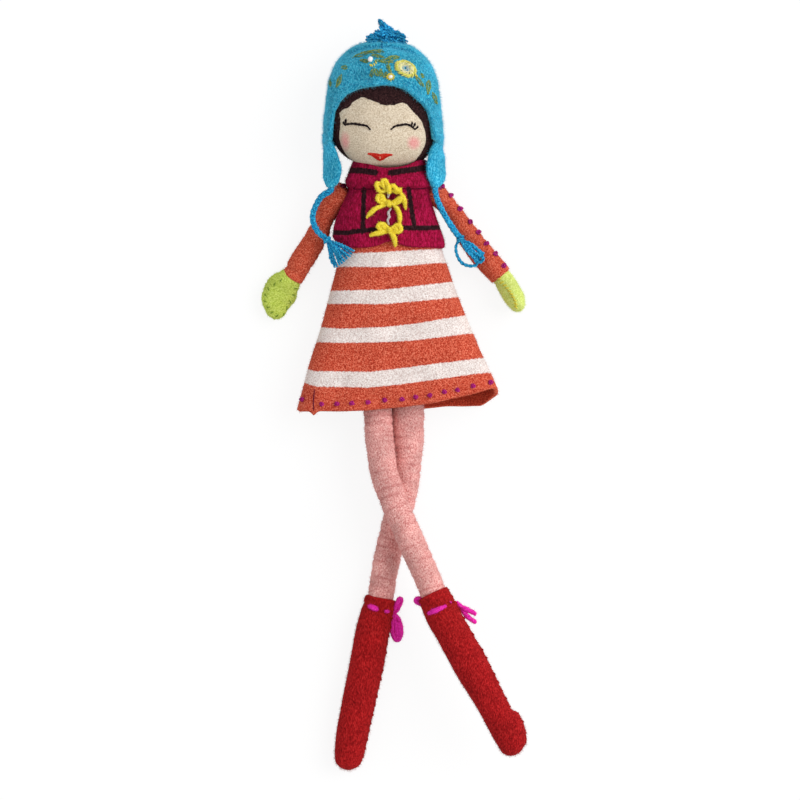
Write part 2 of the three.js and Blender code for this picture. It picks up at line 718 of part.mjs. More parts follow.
function vestRow(y, wall) {
  const growth = 2 * FIT_GAP + DRESS_WALL + wall;
  return {
    x: spineX(y),
    y,
    z: TORSO_Z,
    halfWidth: bodyHalfWidth(y) + growth,
    halfDepth: TORSO_DEPTH / 2 + growth,
    squareness: BODY_SQUARENESS,
  };
}

function vestSolid() {
  const past = 5;
  const outside = BODICE_LEVELS.map((y) => vestRow(y, VEST_WALL));
  const inside = BODICE_LEVELS.map((y) => vestRow(y, 0));
  inside.unshift({ ...inside[0], y: VEST_HEM - past });
  inside.push({ ...inside[inside.length - 1], y: VEST_TOP + past });
  const slit = new THREE.Shape();
  slit.moveTo(spineX(VEST_HEM) - VEST_SLIT / 2, VEST_HEM - past);
  slit.lineTo(spineX(VEST_HEM) + VEST_SLIT / 2, VEST_HEM - past);
  slit.lineTo(spineX(VEST_TOP) + VEST_SLIT / 2, VEST_TOP + past);
  slit.lineTo(spineX(VEST_TOP) - VEST_SLIT / 2, VEST_TOP + past);
  const shell = stacked(outside, BODY_SIDES).subtract(stacked(inside, BODY_SIDES));
  return pressed(shell.subtract(prism(slit, TORSO_Z, FAR)));
}

// A bow: a knot, two loops and two tails, laid on the vest's front.
function bowSolid(below, ends) {
  const x = spineX(VEST_TOP - below);
  const y = VEST_TOP - below;
  const z = vestRow(y, VEST_WALL).z + vestRow(y, VEST_WALL).halfDepth + FIT_GAP + BOW_YARN / 2;
  const knot = new THREE.Vector3(x, y, z);
  const at = ([u, v]) => new THREE.Vector3(x + u, y + v, z);
  const loop = (end) => {
    const [u, v] = end;
    const out = Math.hypot(u, v);
    const across = [(-v / out) * BOW_YARN * 0.7, (u / out) * BOW_YARN * 0.7];
    const outer = at([u + across[0] * 0.6, v + across[1] * 0.6]);
    const upper = at([u * 0.55 + across[0], v * 0.55 + across[1]]);
    const lower = at([u * 0.55 - across[0], v * 0.55 - across[1]]);
    return [yarn([knot, upper, outer], BOW_YARN, 3), yarn([knot, lower, at(end), outer], BOW_YARN, 4)];
  };
  const tail = ([u, v, over]) => {
    const lift = new THREE.Vector3(0, 0, over * BOW_YARN);
    const bend = at([u * 0.5, v * 0.4]).addScaledVector(lift, 0.8);
    return [yarn([knot, bend, at([u, v]).add(lift)], BOW_YARN * 0.9, 3)];
  };
  const middle = solidOf(new THREE.SphereGeometry(BOW_YARN * 0.62, 8, 6).translate(x, y, z + 0.3));
  return joined([middle, ...ends.loops.flatMap(loop), ...ends.tails.flatMap(tail)]);
}

// Places of the loops' and tails' ends from each knot. A tail's third number is how many
// thicknesses of yarn it climbs, to pass over the bow below.
const BOWS = {
  top: { below: 10, loops: [[-5.5, 2], [6, -1]], tails: [[-7.5, 1.5, 0], [9, -12, 1.25]] },
  middle: { below: 20, loops: [[-4.5, 3], [6, 4]], tails: [[-10.5, -7, 0], [5.5, -12.5, 1.25]] },
  bottom: { below: 34, loops: [[-5, 3], [6.5, 1.5]], tails: [[-11, -4, 0], [2.5, -8.5, 0]] },
};

// The pieces that hold one another: limbs are cut out of the torso and its clothes

const armRoots = joined([armSolid(ARMS.right, JOINT_GAP), armSolid(ARMS.left, JOINT_GAP)]);
const legRoots = joined([legSolid(LEGS.right, JOINT_GAP), legSolid(LEGS.left, JOINT_GAP)]);
const neckRoot = neckSolid(JOINT_GAP);

const torso = stacked(torsoRows(), BODY_SIDES).subtract(armRoots).subtract(legRoots).subtract(neckRoot);
const dress = dressSolid().subtract(armRoots);
const vest = vestSolid().subtract(armRoots);
const head = headForm(0).subtract(neckRoot);

// Colours
const ORANGE = '#c8502d';
const MAGENTA = '#9c1040';
const YELLOW = '#f2dc40';
const TURQUOISE = '#1c9ecb';
const BLUE = '#1478b4';
const BROWN = '#2d181a';
const BEIGE = '#dccbb0';
const WHITE = '#f2f0ec';
const LIME = '#aecb46';
const PINK = '#dc9790';
const RED = '#a51c1e';
const HOT_PINK = '#dc2c9c';

function piece(name, solid, color, roughness = 0.95) {
  const material = new THREE.MeshStandardMaterial({ color, roughness, metalness: 0 });
  const mesh = new THREE.Mesh(geometryOf(solid), material);
  mesh.name = name;
  return mesh;
}

const mittenHeading = { right: MITTEN_TURN - RIGHT_ARM_SPLAY, left: LEFT_ARM_SPLAY - MITTEN_TURN };

const body = [
  piece('torso', torso, BEIGE),
  piece('neck', neckSolid(0), BEIGE),
  piece('dress', dress, ORANGE),
  piece('vest', vest, MAGENTA),
  piece('vest_bow_top', bowSolid(BOWS.top.below, BOWS.top), YELLOW),
  piece('vest_bow_middle', bowSolid(BOWS.middle.below, BOWS.middle), YELLOW),
  piece('vest_bow_bottom', bowSolid(BOWS.bottom.below, BOWS.bottom), YELLOW),
];
const headPieces = [
  piece('head', head, BEIGE),
  piece('hair', hairSolid(), BROWN),
  piece('hat', hatSolid(), TURQUOISE),
  piece('hat_pompom', pompomSolid(), BLUE),
  piece('hat_flower', flowerSolid(), YELLOW),
  piece('hat_bead_right', beadSolid(-0.117, 0.836), WHITE, 0.3),
  piece('hat_bead_left', beadSolid(0.067, 0.618), WHITE, 0.3),
  piece('right_earflap', flapSolid(-1), TURQUOISE),
  piece('left_earflap', flapSolid(1), TURQUOISE),
];
const braids = [
  piece('right_braid', braidSolid(RIGHT_BRAID_ROUTE), TURQUOISE),
  piece('left_braid', braidSolid(LEFT_BRAID_ROUTE), TURQUOISE),
  piece('right_tassel', tasselSolid(RIGHT_TASSEL_ROUTE, RIGHT_TASSEL_WIDTH), TURQUOISE),
  piece('left_tassel', tasselSolid(LEFT_TASSEL_ROUTE, LEFT_TASSEL_WIDTH), TURQUOISE),
];
const limbs = [
  piece('right_arm', armSolid(ARMS.right, 0), ORANGE),
  piece('left_arm', armSolid(ARMS.left, 0), ORANGE),
  piece(
    'right_mitten',
    mittenSolid(ARMS.right, mittenHeading.right, MITTEN_WIDTH, MITTEN_THICKNESS, MITTEN_THICKNESS / 2),
    LIME,
  ),
  piece(
    'left_mitten',
    mittenSolid(ARMS.left, mittenHeading.left, MITTEN_THICKNESS * 1.2, MITTEN_WIDTH, MITTEN_WIDTH / 2),
    LIME,
  ),
  piece('right_leg', legSolid(LEGS.right, 0), PINK),
  piece('left_leg', legSolid(LEGS.left, 0), PINK),
  piece('right_boot', bootSolid(BOOTS.right, LEGS.right), RED),
  piece('left_boot', bootSolid(BOOTS.left, LEGS.left), RED),
  piece('right_boot_lace', laceSolid(BOOTS.right, RIGHT_HEADINGS.boot, 1), HOT_PINK),
  piece('left_boot_lace', laceSolid(BOOTS.left, LEFT_HEADINGS.boot, 1), HOT_PINK),
];

// The origin is on the surface, under the middle of the doll without its braids.
const doll = new THREE.Group();
doll.add(...body, ...headPieces, ...limbs);
const middle = new THREE.Box3().setFromObject(doll).getCenter(new THREE.Vector3());
doll.add(...braids);
doll.position.set(-middle.x, -middle.y, 0);

export default doll;
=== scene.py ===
import math
import random

import bmesh
import bpy
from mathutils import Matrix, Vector, noise
from mathutils.bvhtree import BVHTree


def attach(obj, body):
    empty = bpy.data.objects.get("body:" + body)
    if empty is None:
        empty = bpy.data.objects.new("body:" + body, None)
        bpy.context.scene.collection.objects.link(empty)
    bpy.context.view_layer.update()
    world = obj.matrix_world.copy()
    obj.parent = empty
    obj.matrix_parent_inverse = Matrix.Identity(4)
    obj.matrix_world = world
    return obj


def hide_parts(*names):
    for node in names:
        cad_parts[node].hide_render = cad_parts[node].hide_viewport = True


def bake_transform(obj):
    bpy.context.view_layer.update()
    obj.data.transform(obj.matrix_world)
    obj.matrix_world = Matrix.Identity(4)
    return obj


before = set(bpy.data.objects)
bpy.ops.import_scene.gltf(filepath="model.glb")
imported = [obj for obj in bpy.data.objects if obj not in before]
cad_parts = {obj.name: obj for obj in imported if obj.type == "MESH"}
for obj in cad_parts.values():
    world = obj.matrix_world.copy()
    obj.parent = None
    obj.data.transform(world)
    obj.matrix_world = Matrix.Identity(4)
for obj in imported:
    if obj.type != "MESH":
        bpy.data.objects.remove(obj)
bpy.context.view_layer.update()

# The view: the doll lies on its back on a white table and is seen from straight above, through
# a long lens. Soft light comes from all round, with a wide lamp high on the doll's left.
MM = 0.001
VIEW_CENTRE = (2.62 * MM, -3.0 * MM)
VIEW_WIDTH = 440 * MM
VIEW_LEVEL = 20 * MM
LENS = 300
SENSOR = 36
scene = bpy.context.scene
scene.view_settings.view_transform = "Standard"


def link(name, data):
    made = bpy.data.objects.new(name, data)
    scene.collection.objects.link(made)
    return made


def node(tree, kind, inputs=None, **settings):
    """A new node with its settings, whose inputs are linked to sockets or set to values."""
    made = tree.nodes.new(kind)
    for key, value in settings.items():
        setattr(made, key, value)
    for key, value in (inputs or {}).items():
        if isinstance(value, bpy.types.NodeSocket):
            tree.links.new(value, made.inputs[key])
        else:
            made.inputs[key].default_value = value
    return made


def output(tree, kind, inputs=None, **settings):
    """The first output of a new node."""
    return node(tree, kind, inputs, **settings).outputs[0]


def sums(tree, operation, *values):
    """The result of one arithmetic node, in a shader or in geometry nodes."""
    return output(tree, "ShaderNodeMath", dict(enumerate(values)), operation=operation)


def vectors(tree, operation, first, second):
    """The result of one vector node. To scale takes a number as its second value."""
    key = "Scale" if operation == "SCALE" else 1
    return output(tree, "ShaderNodeVectorMath", {0: first, key: second}, operation=operation)


camera = link("camera", bpy.data.cameras.new("camera"))
camera.data.lens = LENS
camera.data.sensor_width = SENSOR
camera.location = (*VIEW_CENTRE, VIEW_LEVEL + VIEW_WIDTH * LENS / SENSOR)
camera.data.clip_end = 20
scene.camera = camera

LAMP_STRENGTH = 1.85
LAMP_SPREAD = math.radians(50)
LAMP_TURN = (math.radians(-16), math.radians(48), 0)
lamp = link("lamp", bpy.data.lights.new("lamp", "SUN"))
lamp.data.energy = LAMP_STRENGTH
lamp.data.angle = LAMP_SPREAD
lamp.rotation_euler = LAMP_TURN


def seen_straight(tree):
    """1 for a ray from the camera or off a shiny surface, 0 for light on the object."""
    rays = node(tree, "ShaderNodeLightPath").outputs
    shiny = sums(tree, "MAXIMUM", rays["Is Glossy Ray"], rays["Is Transmission Ray"])
    return sums(tree, "MAXIMUM", rays["Is Camera Ray"], shiny)


ROOM_LIGHT = 0.655
world = bpy.data.worlds.new("room")
world.use_nodes = True
scene.world = world
room = world.node_tree
strength = node(room, "ShaderNodeMapRange", {"Value": seen_straight(room), "To Min": ROOM_LIGHT})
room.nodes["Background"].inputs["Color"].default_value = (1, 1, 1, 1)
room.links.new(strength.outputs["Result"], room.nodes["Background"].inputs["Strength"])

TABLE_HALF, TABLE_DROP = 3, 0.2 * MM
TABLE_WHITE = (0.8, 0.8, 0.8, 1)  # to the light; the camera sees its shade and its glow
TABLE_SHADE, TABLE_GLOW = (0.14, 0.14, 0.14, 1), 0.875
table = link("table", bpy.data.meshes.new("table"))
corners = [
    (x * TABLE_HALF, y * TABLE_HALF, -TABLE_DROP) for x, y in ((-1, -1), (1, -1), (1, 1), (-1, 1))
]
table.data.from_pydata(corners, [], [(0, 1, 2, 3)])
white = bpy.data.materials.new("white table")
white.use_nodes = True
paint = white.node_tree
plain = output(paint, "ShaderNodeBsdfDiffuse", {"Color": TABLE_WHITE})
shade = output(paint, "ShaderNodeBsdfDiffuse", {"Color": TABLE_SHADE})
glow = output(paint, "ShaderNodeEmission", {"Color": (1, 1, 1, 1), "Strength": TABLE_GLOW})
both = output(paint, "ShaderNodeAddShader", {0: shade, 1: glow})
mixed = output(paint, "ShaderNodeMixShader", {0: seen_straight(paint), 1: plain, 2: both})
paint.links.new(mixed, paint.nodes["Material Output"].inputs["Surface"])
table.data.materials.append(white)

# Braids and tassels: three strands of turquoise wool plaited from each earflap's tip and bound
# at the end. The right tassel is cut to loose strands, and the left one is left in loops.
ORIGIN = Vector((-0.677, -0.249, 0))  # from the pattern, in millimetres, to the middle of the doll
PIXEL = 0.55  # millimetres of the pattern for each pixel of the picture
PICTURE_MIDDLE = 400
VIEW_MIDDLE = camera.location / MM - ORIGIN  # the camera, in the pattern


def placed(point):
    return (Vector(point) + ORIGIN) * MM


def seen(column, row, z=VIEW_LEVEL / MM):
    """The point of the pattern, at a height, that is seen at a place in the picture."""
    share = (VIEW_MIDDLE.z - z) / (VIEW_MIDDLE.z - VIEW_LEVEL / MM)
    across, up = (column - PICTURE_MIDDLE) * PIXEL * share, (PICTURE_MIDDLE - row) * PIXEL * share
    return Vector((VIEW_MIDDLE.x + across, VIEW_MIDDLE.y + up, z))


def line_through(points, gap=0.8):
    """Points on a smooth line through the given ones, about a gap apart."""
    points = [Vector(point) for point in points]
    ends = [points[0] * 2 - points[1], *points, points[-1] * 2 - points[-2]]
    line = []
    for a, b, c, d in zip(ends, ends[1:], ends[2:], ends[3:]):
        count = max(1, round((c - b).length / gap))
        for k in range(count):
            t = k / count
            turn = (2 * a - 5 * b + 4 * c - d) * t * t + (3 * b - a - 3 * c + d) * t**3
            line.append(0.5 * (2 * b + (c - a) * t + turn))
    line.append(points[-1])
    return line


def dye(red, green, blue):
    """A colour from 0 to 255 as it is seen, in the linear numbers that materials take."""
    return tuple(
        (v / 255 / 12.92) if v < 11 else ((v / 255 + 0.055) / 1.055) ** 2.4
        for v in (red, green, blue)
    ) + (1,)


def heather(tree, place, grain, main, light, dark, streak=1.0):
    """Flecks of a lighter and a darker fibre over the main colour, and their height."""
    if streak != 1:
        place = vectors(tree, "MULTIPLY", place, (1, 1 / streak, 1))
    fineness = {"Scale": 1 / (grain * MM), "Detail": 2.5, "Roughness": 0.75}
    flecks = node(tree, "ShaderNodeTexNoise", {"Vector": place, **fineness})
    ramp = node(tree, "ShaderNodeValToRGB", {"Fac": flecks.outputs["Fac"]})
    stops = ramp.color_ramp.elements
    stops[0].position, stops[0].color = 0.36, dark
    stops[1].position, stops[1].color = 0.64, light
    middle = stops.new(0.5)
    middle.color = main
    return ramp.outputs["Color"], flecks.outputs["Fac"]


def wool(
    name, main, light, dark, grain=0.75, mark=None, stitch=None,
    depth=0.35, patch=0.16, streak=1.0, edge=0.3, sheen=0.18,
):
    """Heathered wool in a main, a lighter and a darker colour, from 0 to 255. The grain is the
    width of its flecks, which a streak stretches along the doll, the depth their relief, and a
    stitch the width of the knit stitches, all in millimetres. A patch is the share by which broad
    places are lighter or darker. A mark is an attribute, a distance in millimetres inside a second
    colour, with its three colours, and the edge is half the width of its edge."""
    main, light, dark = dye(*main), dye(*light), dye(*dark)
    material = bpy.data.materials.new(name)
    material.use_nodes = True
    tree = material.node_tree
    shader = tree.nodes["Principled BSDF"]
    place = node(tree, "ShaderNodeTexCoord").outputs["Object"]
    colour, height = heather(tree, place, grain, main, light, dark, streak)
    if mark:
        attribute, *dyes = mark
        inside = node(tree, "ShaderNodeAttribute", attribute_name=attribute).outputs["Fac"]
        fray = node(tree, "ShaderNodeTexNoise", {"Vector": place, "Scale": 900, "Detail": 2})
        inside = sums(tree, "SUBTRACT", inside, 0.75)
        ragged = sums(tree, "MULTIPLY_ADD", fray.outputs["Fac"], 1.5, inside)
        limits = {"From Min": -edge, "From Max": edge}
        share = output(tree, "ShaderNodeMapRange", {"Value": ragged, **limits})
        second, _ = heather(tree, place, grain, *(dye(*colours) for colours in dyes), streak)
        blended = node(tree, "ShaderNodeMix", data_type="RGBA")
        for socket, value in ((0, share), (6, colour), (7, second)):
            tree.links.new(value, blended.inputs[socket])
        colour = blended.outputs[2]
    patches = node(tree, "ShaderNodeTexNoise", {"Vector": place, "Scale": 90, "Detail": 3})
    limits = {"From Min": 0.3, "From Max": 0.7, "To Min": 1 - patch, "To Max": 1 + patch}
    level = output(tree, "ShaderNodeMapRange", {"Value": patches.outputs["Fac"], **limits})
    shaded = output(tree, "ShaderNodeHueSaturation", {"Color": colour, "Value": level})
    tree.links.new(shaded, shader.inputs["Base Color"])
    if stitch:
        uv = output(tree, "ShaderNodeUVMap", uv_map="knit")
        parts = node(tree, "ShaderNodeSeparateXYZ", {0: uv}).outputs
        across = sums(tree, "FRACT", sums(tree, "DIVIDE", parts["X"], stitch * MM))
        arms = sums(tree, "ABSOLUTE", sums(tree, "MULTIPLY_ADD", across, 2.0, -1.0))
        rows = sums(tree, "DIVIDE", parts["Y"], stitch * 0.8 * MM)
        wave = sums(tree, "FRACT", sums(tree, "ADD", rows, arms))
        loop = sums(tree, "SINE", sums(tree, "MULTIPLY", wave, math.pi))
        valley = sums(tree, "SINE", sums(tree, "MULTIPLY", across, math.pi))
        height = sums(tree, "MULTIPLY_ADD", sums(tree, "MULTIPLY", loop, valley), 0.5, height)
    relief = {"Height": height, "Strength": 0.7, "Distance": depth * MM}
    tree.links.new(output(tree, "ShaderNodeBump", relief), shader.inputs["Normal"])
    finish = {"Roughness": 0.95, "Specular IOR Level": 0.12}
    finish |= {"Sheen Weight": sheen, "Sheen Roughness": 0.6, "Sheen Tint": light}
    for key, value in finish.items():
        shader.inputs[key].default_value = value
    return material


def nodes_tree(name, inputs):
    """An empty tree of geometry nodes with named inputs, and its first and last node."""
    tree = bpy.data.node_groups.new(name, "GeometryNodeTree")
    tree.interface.new_socket("Geometry", in_out="INPUT", socket_type="NodeSocketGeometry")
    for key, kind in inputs.items():
        tree.interface.new_socket(key, in_out="INPUT", socket_type="NodeSocket" + kind)
    tree.interface.new_socket("Geometry", in_out="OUTPUT", socket_type="NodeSocketGeometry")
    return tree, tree.nodes.new("NodeGroupInput").outputs, tree.nodes.new("NodeGroupOutput").inputs


def closed(tree, shape, given, result):
    """Ends a tree of geometry nodes with its shape, as plain mesh in the given material."""
    shape = output(tree, "GeometryNodeRealizeInstances", {0: shape})
    dyed = {"Geometry": shape, "Material": given["Material"]}
    tree.links.new(output(tree, "GeometryNodeSetMaterial", dyed), result["Geometry"])


def grown(tree, base, name, **values):
    """The plain mesh that a tree of geometry nodes makes from a base piece."""
    modifier = base.modifiers.new(name, "NODES")
    modifier.node_group = tree
    for item in tree.interface.items_tree:
        key = item.name.replace(" ", "_").lower()
        if item.in_out == "INPUT" and key in values:
            modifier[item.identifier] = values[key]
    graph = bpy.context.evaluated_depsgraph_get()
    mesh = bpy.data.meshes.new_from_object(base.evaluated_get(graph), depsgraph=graph)
    base.modifiers.remove(modifier)
    return link(name, mesh)


THREAD, given, result = nodes_tree(
    "laid thread",
    {
        "Plies": "Int", "Ply Radius": "Float", "Lay Radius": "Float", "Twist": "Float",
        "Plaited": "Float", "Sides": "Int", "Material": "Material",
    },
)
lines = output(THREAD, "GeometryNodeMeshToCurve", {0: given["Geometry"]})
lines = output(THREAD, "GeometryNodeSetCurveNormal", {"Curve": lines}, mode="Z_UP")
thick = output(THREAD, "GeometryNodeInputNamedAttribute", {"Name": "thickness"}, data_type="FLOAT")
amount = {0: lines, "Amount": given["Plies"]}
copies = node(THREAD, "GeometryNodeDuplicateElements", amount, domain="SPLINE").outputs
length = node(THREAD, "GeometryNodeSplineParameter").outputs["Length"]
start = sums(THREAD, "DIVIDE", sums(THREAD, "MULTIPLY", copies[1], math.tau), given["Plies"])
angle = sums(THREAD, "MULTIPLY_ADD", length, given["Twist"], start)
cosine, sine = sums(THREAD, "COSINE", angle), sums(THREAD, "SINE", angle)
double = sums(THREAD, "MULTIPLY", sums(THREAD, "MULTIPLY", sine, cosine), 0.9)
plait = given["Plaited"]
across = output(THREAD, "ShaderNodeMix", {0: plait, 2: cosine, 3: sine})
over = output(THREAD, "ShaderNodeMix", {0: plait, 2: sine, 3: double})
normal = output(THREAD, "GeometryNodeInputNormal")
tangent = output(THREAD, "GeometryNodeInputTangent")
upward = vectors(THREAD, "CROSS_PRODUCT", tangent, normal)
sideways = vectors(THREAD, "SCALE", normal, sums(THREAD, "MULTIPLY", across, given["Lay Radius"]))
risen = vectors(THREAD, "SCALE", upward, sums(THREAD, "MULTIPLY", over, given["Lay Radius"]))
aside = vectors(THREAD, "SCALE", vectors(THREAD, "ADD", sideways, risen), thick)
moved = output(THREAD, "GeometryNodeSetPosition", {"Geometry": copies[0], "Offset": aside})
section = {"Resolution": given["Sides"], "Radius": given["Ply Radius"]}
section = output(THREAD, "GeometryNodeCurvePrimitiveCircle", section)
swept = {"Curve": moved, "Profile Curve": section, "Scale": thick, "Fill Caps": True}
tube = output(THREAD, "GeometryNodeCurveToMesh", swept)
closed(THREAD, output(THREAD, "GeometryNodeSetShadeSmooth", {0: tube}), given, result)


def thread(name, routes, width, material, plies=2, turn=3.0, sides=6, plaited=0.0, taper=0.0):
    """Yarn of a width, laid along each route. It has plies, which turn once round in so many
    widths, and a taper is the share of its width that it loses at each end."""
    points, edges, thickness = [], [], []
    for route in routes:
        first = len(points)
        points += [placed(point) for point in route]
        edges += [(i, i + 1) for i in range(first, len(points) - 1)]
        last = len(route) - 1
        for i, point in enumerate(route):
            slub = 1 + 0.12 * noise.noise(Vector(point) / (2 * width))
            thickness.append(slub * (1 - taper * (2 * i / last - 1) ** 2))
    base = link(name + "_lines", bpy.data.meshes.new(name + "_lines"))
    base.data.from_pydata(points, edges, [])
    for key, values in (("thickness", thickness), ("nap", [1.0] * len(points))):
        base.data.attributes.new(key, "FLOAT", "POINT").data.foreach_set("value", values)
    ply = {1: 0.5, 2: 0.29, 3: 0.27}[plies]
    made = grown(
        THREAD, base, name, plies=plies, ply_radius=width * ply * MM,
        lay_radius=0.0 if plies == 1 else width * (0.5 - ply) * MM,
        twist=math.tau / (turn * width * MM), plaited=plaited, sides=sides, material=material,
    )
    bpy.data.objects.remove(base)
    return made


BRAID_WIDTH = 3.4
STRAND = {"right": 1.8, "left": 2.1}
turquoise_yarn = wool(
    "turquoise yarn", (22, 148, 200), (84, 200, 232), (4, 78, 136), grain=0.7, patch=0.16, sheen=0.1
)
BRAID_ROUTES = {
    "right": [
        (-34.6, 113.7, 26.7), (-35.1, 112, 26.4), (-40.2, 108.6, 24.8), (-44.2, 101, 23.2),
        (-44.4, 95, 22.3), (-41.8, 89.7, 22.4), (-37.4, 86, 23.6),
    ],
    "left": [
        (22.5, 113.9, 26.7), (22.7, 111.6, 26.2), (24, 106.6, 25.2), (27.4, 99.6, 23.8),
        (31.8, 92.4, 22.8), (36, 86.6, 22),
    ],
}
TASSEL_ENDS = {
    "right": [
        (354, 251, 34), (352, 254, 32.5), (350, 256.5, 34), (347, 259, 32), (344.5, 261.5, 33),
        (342, 263.5, 31), (339.5, 265, 30), (337, 267, 29), (334.5, 267.5, 28), (332, 264, 27),
        (330, 259, 26), (341, 256, 34),
    ],
    "left": [
        (484, 254, 21), (481, 257, 23), (479, 259, 21.5), (476, 262, 22.5), (481, 262, 20),
        (472, 256, 23.5),
    ],
}
TASSEL_LOOPS = {
    "right": [],
    "left": [
        [
            (456, 246, 22), (457, 255, 21.5), (462, 263, 21), (470, 266, 21), (477, 264, 21),
            (474, 254, 22.5),
        ],
        [(465, 246, 23), (471, 255, 22.5), (479, 262, 21.5), (483, 258, 22), (474, 246, 23)],
    ],
}
BINDING_TURNS, BINDING_STEPS, BINDING_RADIUS, BINDING_LENGTH = 3, 12, 1.75, 1.2
chance = random.Random(7)


def tassel_strands(side, root):
    """Routes of a tassel: the turns of yarn that bind it, its loose strands and its loops."""
    binding = []
    last = BINDING_TURNS * BINDING_STEPS
    for k in range(last + 1):
        turn = k / BINDING_STEPS * math.tau
        ring = Vector((math.cos(turn), 0, math.sin(turn))) * BINDING_RADIUS
        drop = -BINDING_LENGTH * k / last + 0.3 + ring.x * 0.6
        binding.append(root + Vector((ring.x * 0.8, drop, ring.z)))
    strands = [binding]
    for i, (column, row, z) in enumerate(TASSEL_ENDS[side]):
        end = seen(column, row, z)
        bow = Vector((end.y - root.y, root.x - end.x, 0)).normalized() * chance.uniform(-0.8, 0.8)
        middle = (root * 0.45 + end * 0.55) + bow + Vector((0, 0, 1.2))
        strands.append(line_through([root + Vector((0, 0, 0.4 * (i % 2))), middle, end]))
    for loop in TASSEL_LOOPS[side]:
        end = root + Vector((0.6, -0.6, 0.3))
        strands.append(line_through([root, *(seen(*point) for point in loop), end]))
    return strands


tassels, braids = {}, {}
for side, points in BRAID_ROUTES.items():
    route = line_through(points, 0.5)
    braid = thread(
        side + "_braid_plait", [route], BRAID_WIDTH, turquoise_yarn, plies=3, turn=2.6, sides=8,
        plaited=1.0,
    )
    root = Vector(points[-1]) + (Vector(points[-1]) - Vector(points[-2])).normalized() * 0.8
    strands = tassel_strands(side, root)
    tassel = thread(
        side + "_tassel_strands", strands, STRAND[side], turquoise_yarn, turn=2.4, sides=6,
        taper=0.2,
    )
    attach(braid, side + "_earflap")
    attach(tassel, side + "_earflap")
    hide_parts(side + "_braid")
    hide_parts(side + "_tassel")
    placed(points[0])
    sum((b - a).length for a, b in zip(route, route[1:])) * MM
    [placed(point) for point in route]
    braids[side], tassels[side] = braid, tassel

# Torso: a sack of beige knit, stuffed firm and sewn shut, wider at the hips than at the shoulders.
# The dress covers it, and the limbs and the neck are sewn to its ends.
UP = Vector((0, 0, 1))
TORSO_TOP, TORSO_BOTTOM, WAIST = 124, 19, 78
TORSO_Z = 16.1
TORSO_DEPTH = 24
TORSO_SIDES, TORSO_RINGS = 48, 48
TORSO_EASE = 0.4  # the swelling that its stuffing adds
BODY_SQUARENESS = 2.6  # 2 is for an oval section, and more for a squarer one
SHOULDER_WIDTH, HIP_WIDTH = 31.8, 52
ACROSS = Vector((1, 0, 0))


def mix(a, b, share):
    return a + (b - a) * share


def clamp(value):
    return min(max(value, 0.0), 1.0)


def smooth(value, low, high):
    share = clamp((value - low) / (high - low))
    return share * share * (3 - 2 * share)


def spine_x(y):
    return 2.6 - 0.05 * y


def body_half_width(y):
    return mix(SHOULDER_WIDTH, HIP_WIDTH, clamp((TORSO_TOP - y) / (TORSO_TOP - WAIST)) ** 1.5) / 2


def oval(centre, side, up, half_width, half_depth, sides, squareness=2.0):
    """Points on a rounded section, from the side direction over the top."""
    made = []
    for i in range(sides):
        angle = i / sides * math.tau
        c, s = math.cos(angle), math.sin(angle)
        across = math.copysign(abs(c) ** (2 / squareness), c) * half_width
        rise = math.copysign(abs(s) ** (2 / squareness), s) * half_depth
        made.append(Vector(centre) + side * across + up * rise)
    return made


def skin(name, rings, poles, materials, shaded_inside=None, **marks):
    """A closed skin over rings of points: two poles close its ends, or else the last ring joins
    the first. Rings from number lining on take the second material. Each mark is an attribute."""
    count = len(rings[0])
    points = [point for ring in rings for point in ring]
    girth = sum((b - a).length for ring in rings for a, b in zip(ring, ring[1:])) / len(rings)
    heights = [0.0]
    for low, high in zip(rings, rings[1:]):
        heights.append(heights[-1] + sum((b - a).length for a, b in zip(low, high)) / count)
    faces, places, dyes = [], [], []
    pairs = [(r, r + 1) for r in range(len(rings) - 1)] + ([] if poles else [(len(rings) - 1, 0)])
    for low, high in pairs:
        for i in range(count):
            j = (i + 1) % count
            faces.append((low * count + i, low * count + j, high * count + j, high * count + i))
            left, right = i / count * girth, (i + 1) / count * girth
            places += [(left, heights[low]), (right, heights[low])]
            places += [(right, heights[high]), (left, heights[high])]
            dyes.append(1 if shaded_inside is not None and low >= shaded_inside else 0)
    for pole, ring in zip(poles or (), (0, len(rings) - 1)):
        points.append(Vector(pole))
        for i in range(count):
            j = (i + 1) % count
            faces.append((len(points) - 1, ring * count + j, ring * count + i))
            places += [(step / count * girth, heights[ring]) for step in (i + 0.5, i + 1, i)]
            dyes.append(1 if shaded_inside is not None and ring >= shaded_inside else 0)
    mesh = bpy.data.meshes.new(name)
    mesh.from_pydata([placed(point) for point in points], [], faces)
    uv = mesh.uv_layers.new(name="knit")
    uv.data.foreach_set("uv", [value * MM for place in places for value in place])
    mesh.polygons.foreach_set("material_index", dyes)
    for material in materials:
        mesh.materials.append(material)
    marks.setdefault("nap", [1.0])
    for key, values in marks.items():
        padded = list(values) + [values[-1]] * (len(points) - len(values))
        mesh.attributes.new(key, "FLOAT", "POINT").data.foreach_set("value", padded)
    shell = bmesh.new()
    shell.from_mesh(mesh)
    bmesh.ops.recalc_face_normals(shell, faces=shell.faces)
    shell.to_mesh(mesh)
    shell.free()
    mesh.shade_smooth()
    return link(name, mesh)


def uneven(piece, depth, patch, seed=0.0):
    """Moves the skin in and out by a depth, over patches of a size, as hand work does."""
    normals = [vertex.normal.copy() for vertex in piece.data.vertices]
    for vertex, normal in zip(piece.data.vertices, normals):
        place = vertex.co / (patch * MM) + Vector((seed, seed * 1.7, 0))
        vertex.co += normal * noise.noise(place) * depth * MM


SIMULATION_SCALE = 20
SIMULATION_FRAMES = 16


